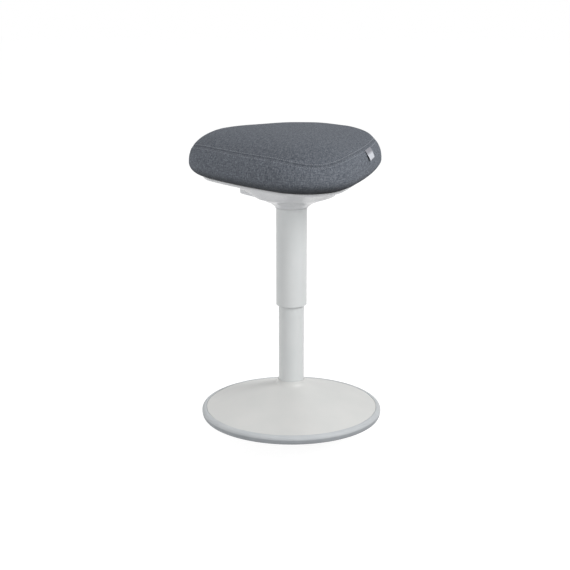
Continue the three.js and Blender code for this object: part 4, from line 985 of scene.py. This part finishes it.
tone = weave.maths("ADD", tone, weave.maths("MULTIPLY", slub, more_on_band(1.2)))
shade = weave.step("ValToRGB", {"Fac": tone})
ramp = shade.color_ramp
ramp.elements[0].position, ramp.elements[0].color = 0.26, seen(62, 66, 74)
ramp.elements[1].position, ramp.elements[1].color = 0.78, seen(158, 163, 171)
middle = ramp.elements.new(0.5)
middle.color = seen(104, 109, 117)
# painted shade: the low points of the weave are painted darker
painted_shading = weave.ranged(height, 0.64, 0.89, 0.1, 0.8)
# the band is painted a shade lighter as painted light, and its tuck is painted darker towards the hem as
# painted shade
painted_shading = weave.maths("MULTIPLY", painted_shading, more_on_band(1.16))
HEM_Z, TUCK_TOP = 524, 550
up = weave.apart(weave.place)[2]
tuck_painted_shade = weave.ranged(up, 0.1, 1.0, HEM_Z * MM, TUCK_TOP * MM, interpolation_type="SMOOTHSTEP")
painted_shading = weave.maths("MULTIPLY", painted_shading, tuck_painted_shade)
painted_shading_colour = weave.step("VectorMath", {0: shade.outputs[0], "Scale": painted_shading}, operation="SCALE").outputs[0]
weave.coloured(painted_shading_colour)
fluff = weave.noise(cloth_place, 2600.0)
weave.raised(fluff, 0.12, onto=weave.raised(height, 0.28))

# The cover itself. The band and the top are cut apart, so the yarns run round the band and straight
# across the top; the hem is turned in under the board, where it is stapled.

shape = bmesh.new()
hem_rows = []
for inset, z in ((48, 526.2), (48.6, 525.2), (48, 524.2), (44, HEM_Z), (40, HEM_Z)):
    hem_rows.append([(*drawn_in(place, inset), z) for place in cover_rim])
rows = [[tuple(p) for p in row] for row in points]
inset, z = at_length(0.2, *section_line(2.2))
folded_edge = [(*drawn_in(place, inset), z) for place in cover_rim]
all_rows = [folded_edge] + hem_rows + rows
peak = (0, 0, points[-1, :, 2].mean() + 0.15)
rings = wrapped(shape, all_rows + [[peak]])
cloth_layer = shape.loops.layers.uv.new("cloth")
shape.verts.index_update()
first_top_row = len(all_rows) - len(rows) + seam_row
row_of = {}
for r, ring in enumerate(rings):
    for c, vertex in enumerate(ring):
        row_of[vertex] = (r, c)
lengths_of_rows = np.concatenate([np.linspace(-18, -3, len(all_rows) - len(rows)), row_lengths])
BAND_AT = 2000  # where the band lies on the cloth's pattern, well away from the top
for face in shape.faces:
    places = [row_of[loop.vert] for loop in face.loops]
    lowest = min(r for r, _ in places)
    columns = [c for _, c in places]
    wraps = max(columns) - min(columns) > around / 2
    for loop, (r, c) in zip(face.loops, places):
        if lowest >= first_top_row:
            loop[cloth_layer].uv = (loop.vert.co.x * MM, loop.vert.co.y * MM)
        else:
            length = round_length[c] + (round_length[-1] if wraps and c < around / 2 else 0)
            loop[cloth_layer].uv = (length * MM, (BAND_AT + lengths_of_rows[r]) * MM)
with_the_seat(shape)
cushion = made("cushion", shape, weave.material)
fitted(cushion, "seat", "fabric_grey", "cushion_cover")

# The stitches. Two rows of grey thread a shade lighter than the cloth, each stitch pulled a little into
# the fabric at its ends.

thread = Finish("grey_thread", 0.6, gloss=0.4)
twist = thread.specks(0.35, 2)
thread.coloured(thread.toned(twist, (124, 128, 136), (160, 164, 171), 0.35, 0.65))
thread.raised(twist, 0.05)


def part_way(at, run, line):
    # The place or direction at a length along a line
    return Vector([np.interp(at, run, line[:, axis]) for axis in range(3)])


shape = bmesh.new()
STITCH, GAP, THREAD_R = 3.1, 1.1, 0.42
around_thread = [2 * math.pi * m / 6 for m in range(6)]
for side in (-1, 1):
    row_at = seam_row + int(np.argmin(abs(from_seam[seam_row:] - STITCH_ROW))) * side
    line = points[row_at]
    out_line = facing(points)[row_at]
    run = np.concatenate([[0], np.cumsum(np.linalg.norm(np.roll(line, -1, 0) - line, axis=1))])
    count = int(run[-1] / (STITCH + GAP))
    closed_line = np.vstack([line, line[:1]])
    closed_out = np.vstack([out_line, out_line[:1]])
    for n in range(count):
        start = n * run[-1] / count
        rings = []
        for k in range(5):
            t = k / 4
            at = start + t * STITCH
            centre = part_way(at, run, closed_line)
            normal = part_way(at, run, closed_out).normalized()
            ahead = part_way(at + 0.5, run, closed_line) - centre
            across = ahead.cross(normal).normalized()
            arch = math.sin(math.pi * t) ** 0.5
            lift = -0.25 + 0.55 * arch
            radius = THREAD_R * (0.55 + 0.45 * arch)
            ring = []
            for a in around_thread:
                beside = radius * 1.1 * math.cos(a) * across
                ring.append(shape.verts.new(centre + (lift + radius * math.sin(a)) * normal + beside))
            rings.append(ring)
        skinned(shape, rings)
        shape.faces.new(rings[0])
        shape.faces.new(rings[-1])
with_the_seat(shape)
stitches = made("stitches", shape, thread.material)
fitted(stitches, "seat", "fabric_grey")

# The foam. A moulded block of cream open-cell foam, glued down on the board, fills the cover and gives
# the cushion its shape; it has the cover's own outline, set in by the cover's thickness.

foam = Finish("cut_foam", 0.95, gloss=0.1)
cells = foam.specks(0.9, 3)
foam.coloured(foam.toned(cells, (196, 186, 150), (236, 227, 196), 0.35, 0.6))
foam.raised(cells, 0.5)
COVER_THICK, FOAM_FOOT, FOAM_TOP = 2.1, 536.4, 618.4
foam_line, foam_length = section_line(COVER_THICK)
foam_rim = rim(40, 10)
foam_start = float(np.interp(FOAM_FOOT, foam_line[:, 1], foam_length))
rows = []
for length in np.linspace(foam_start, foam_length[-1] - 6, 34):
    inset, z = at_length(length, foam_line, foam_length)
    rows.append([Vector((*drawn_in(place, inset), z)) for place in foam_rim])
shape = bmesh.new()
rings = wrapped(shape, rows + [[(0, 0, FOAM_TOP)]])
shape.faces.new(rings[0])
with_the_seat(shape)
block = made("foam_block", shape, foam.material)
fitted(block, "seat", "foam_cream", "foam_pad")

# The tag. A folded ribbon of pale grey satin is caught in the seam on the right-hand side; it is bare
# on both faces, and its front edge has lifted off the cushion a little.

ribbon = Finish("satin_ribbon", 0.5, gloss=0.4)
ribs = ribbon.specks(0.5, 1, stretch=(1, 1, 0.12))
satin = ribbon.toned(ribs, (188, 191, 199), (206, 209, 215))
# the upper part of the ribbon, near the seam, is painted darker as painted shade
ribbon_painted_shade = ribbon.toned(ribs, (114, 115, 123), (130, 131, 139))
PAINTED_SHADE_FROM, PAINTED_SHADE_ABOVE = 575.5, 580
height = ribbon.apart(ribbon.place)[2]
painted_shade_share = ribbon.ranged(height, 0, 1, PAINTED_SHADE_FROM * MM, PAINTED_SHADE_ABOVE * MM)
ribbon.coloured(ribbon.blended(painted_shade_share, satin, ribbon_painted_shade))
ribbon.raised(ribs, 0.06)
TAG_WIDE, TAG_MIDDLE, TAG_OUT, TAG_ASKEW = 43, 2.5, 1.2, 8
TAG_TOP, TAG_FOOT = 26.9, 12  # degrees up the crown
shape = bmesh.new()
across_cuts, down_cuts = 24, 14
surface_rows = []
for k in range(down_cuts + 1):
    share = k / down_cuts
    angle = math.radians(TAG_TOP + (TAG_FOOT - TAG_TOP) * share)
    surface_rows.append((share, crown_point(angle, 0)))


def tag_point(across, share, point, lift):
    # A place on the ribbon, by its share of the width and of the way down, lifted off the layer below
    y = TAG_MIDDLE + (across - 0.5) * TAG_WIDE - TAG_ASKEW * share
    inset, z = point
    bend = math.asin(y / (side_r - inset))
    x = -side_back + (side_r - inset) * math.cos(bend)
    curl = 0.5 + 1.1 * share ** 1.5 + 3.0 * share ** 1.5 * (1 - across) ** 2.5
    return Vector((x + TAG_OUT + curl + lift, y, z + 0.15 * lift))


layers = []
for lift in (0.0, 0.75):
    grid = []
    for share, point in surface_rows:
        lifted = lift * (1 - 0.75 * share ** 6)
        places = [tag_point(a / across_cuts, share, point, lifted) for a in range(across_cuts + 1)]
        grid.append([shape.verts.new(place) for place in places])
    layers.append(grid)
under_layer, over_layer = layers
for grid in layers:
    for low, high in zip(grid, grid[1:]):
        for a in range(across_cuts):
            shape.faces.new((low[a], low[a + 1], high[a + 1], high[a]))
for a in range(across_cuts):
    for low, high in ((under_layer[0], over_layer[0]), (under_layer[-1], over_layer[-1])):
        shape.faces.new((low[a], low[a + 1], high[a + 1], high[a]))
for row in range(down_cuts):
    for a in (0, -1):
        (upper, lower), (upper_over, lower_over) = [[layer[row + k][a] for k in (0, 1)] for layer in layers]
        shape.faces.new((upper, lower, lower_over, upper_over))
with_the_seat(shape)
tag = made("tag", shape, ribbon.material)
fitted(tag, "seat", "label_grey", "cushion_tag")

# The studio. A white floor and a white surround; a wide soft lamp high on the right, a dimmer one low on
# the left, weak ones above and behind, and a long lens a little above the seat, looking down at it.


def lamp(name, place, aim, power, wide, tall):
    light = bpy.data.lights.new(name, "AREA")
    light.shape = "RECTANGLE"
    light.size, light.size_y = wide, tall
    light.energy = power
    holder = bpy.data.objects.new(name, light)
    holder.location = place
    holder.rotation_euler = (Vector(aim) - Vector(place)).to_track_quat("-Z", "Y").to_euler()
    bpy.context.scene.collection.objects.link(holder)


middle_of_stool = (0, 0, 0.35)
lamp("key", (2.2, -1.4, 2.2), middle_of_stool, power=70, wide=1.6, tall=1.6)
lamp("fill", (-1.9, -2.7, 1.1), middle_of_stool, power=26, wide=1.6, tall=1.4)
lamp("top", (0.2, -0.2, 3.0), middle_of_stool, power=6, wide=2.0, tall=2.0)
lamp("back", (0.3, 2.4, 2.0), middle_of_stool, power=9, wide=1.6, tall=1.6)
lamp("edge", (-2.3, 1.0, 1.3), middle_of_stool, power=14, wide=1.4, tall=1.4)


def plain_shader(tree, kind, **values):
    # One plain shader with its colour or strength
    shader = tree.nodes.new("ShaderNode" + kind)
    for socket, value in values.items():
        shader.inputs[socket].default_value = value
    return shader.outputs[0]


def shown_and_shed(tree, shed, shown, end):
    # What lights the stool can differ from what the camera sees, also in a mirror or through glass
    paths = tree.nodes.new("ShaderNodeLightPath")
    looked_at = paths.outputs["Is Camera Ray"]
    for way in ("Is Glossy Ray", "Is Transmission Ray"):
        either = tree.nodes.new("ShaderNodeMath")
        either.operation = "MAXIMUM"
        tree.links.new(looked_at, either.inputs[0])
        tree.links.new(paths.outputs[way], either.inputs[1])
        looked_at = either.outputs[0]
    chosen = tree.nodes.new("ShaderNodeMixShader")
    for socket, source in zip(chosen.inputs, (looked_at, shed, shown)):
        tree.links.new(source, socket)
    tree.links.new(chosen.outputs[0], tree.nodes.new(end).inputs["Surface"])


world = bpy.data.worlds.new("studio")
bpy.context.scene.world = world
world.use_nodes = True
sky = world.node_tree
sky.nodes.clear()
soft_glow = plain_shader(sky, "Background", Color=(1, 1, 1, 1), Strength=0.32)
plain_white = plain_shader(sky, "Background", Color=(1, 1, 1, 1), Strength=1.0)
shown_and_shed(sky, soft_glow, plain_white, "ShaderNodeOutputWorld")

paper = bpy.data.materials.new("white_paper")
paper.use_nodes = True
sheet = paper.node_tree
sheet.nodes.clear()
matt = plain_shader(sheet, "BsdfDiffuse", Color=(0.62, 0.62, 0.62, 1))
bright = sheet.nodes.new("ShaderNodeAddShader")
sheet.links.new(plain_shader(sheet, "BsdfDiffuse", Color=(0.22, 0.22, 0.22, 1)), bright.inputs[0])
sheet.links.new(plain_shader(sheet, "Emission", Strength=0.93), bright.inputs[1])
shown_and_shed(sheet, matt, bright.outputs[0], "ShaderNodeOutputMaterial")

shape = bmesh.new()
bmesh.ops.create_grid(shape, x_segments=2, y_segments=2, size=9)
floor = made("paper_floor", shape, paper)
floor.location.z = -0.0004

camera = bpy.data.objects.new("camera", bpy.data.cameras.new("camera"))
LOOKS_DOWN, FOCAL_PX, FRAME_PX, SENSOR = 15.1, 1371, 570, 36
camera.location = (-0.0127, -2.6, 1.01)
camera.rotation_euler = (math.radians(90 - LOOKS_DOWN), 0, 0)
camera.data.sensor_width = SENSOR
camera.data.lens = SENSOR * FOCAL_PX / FRAME_PX
camera.data.clip_end = 60
bpy.context.scene.collection.objects.link(camera)
bpy.context.scene.camera = camera

bpy.context.scene.view_settings.view_transform = "Standard"
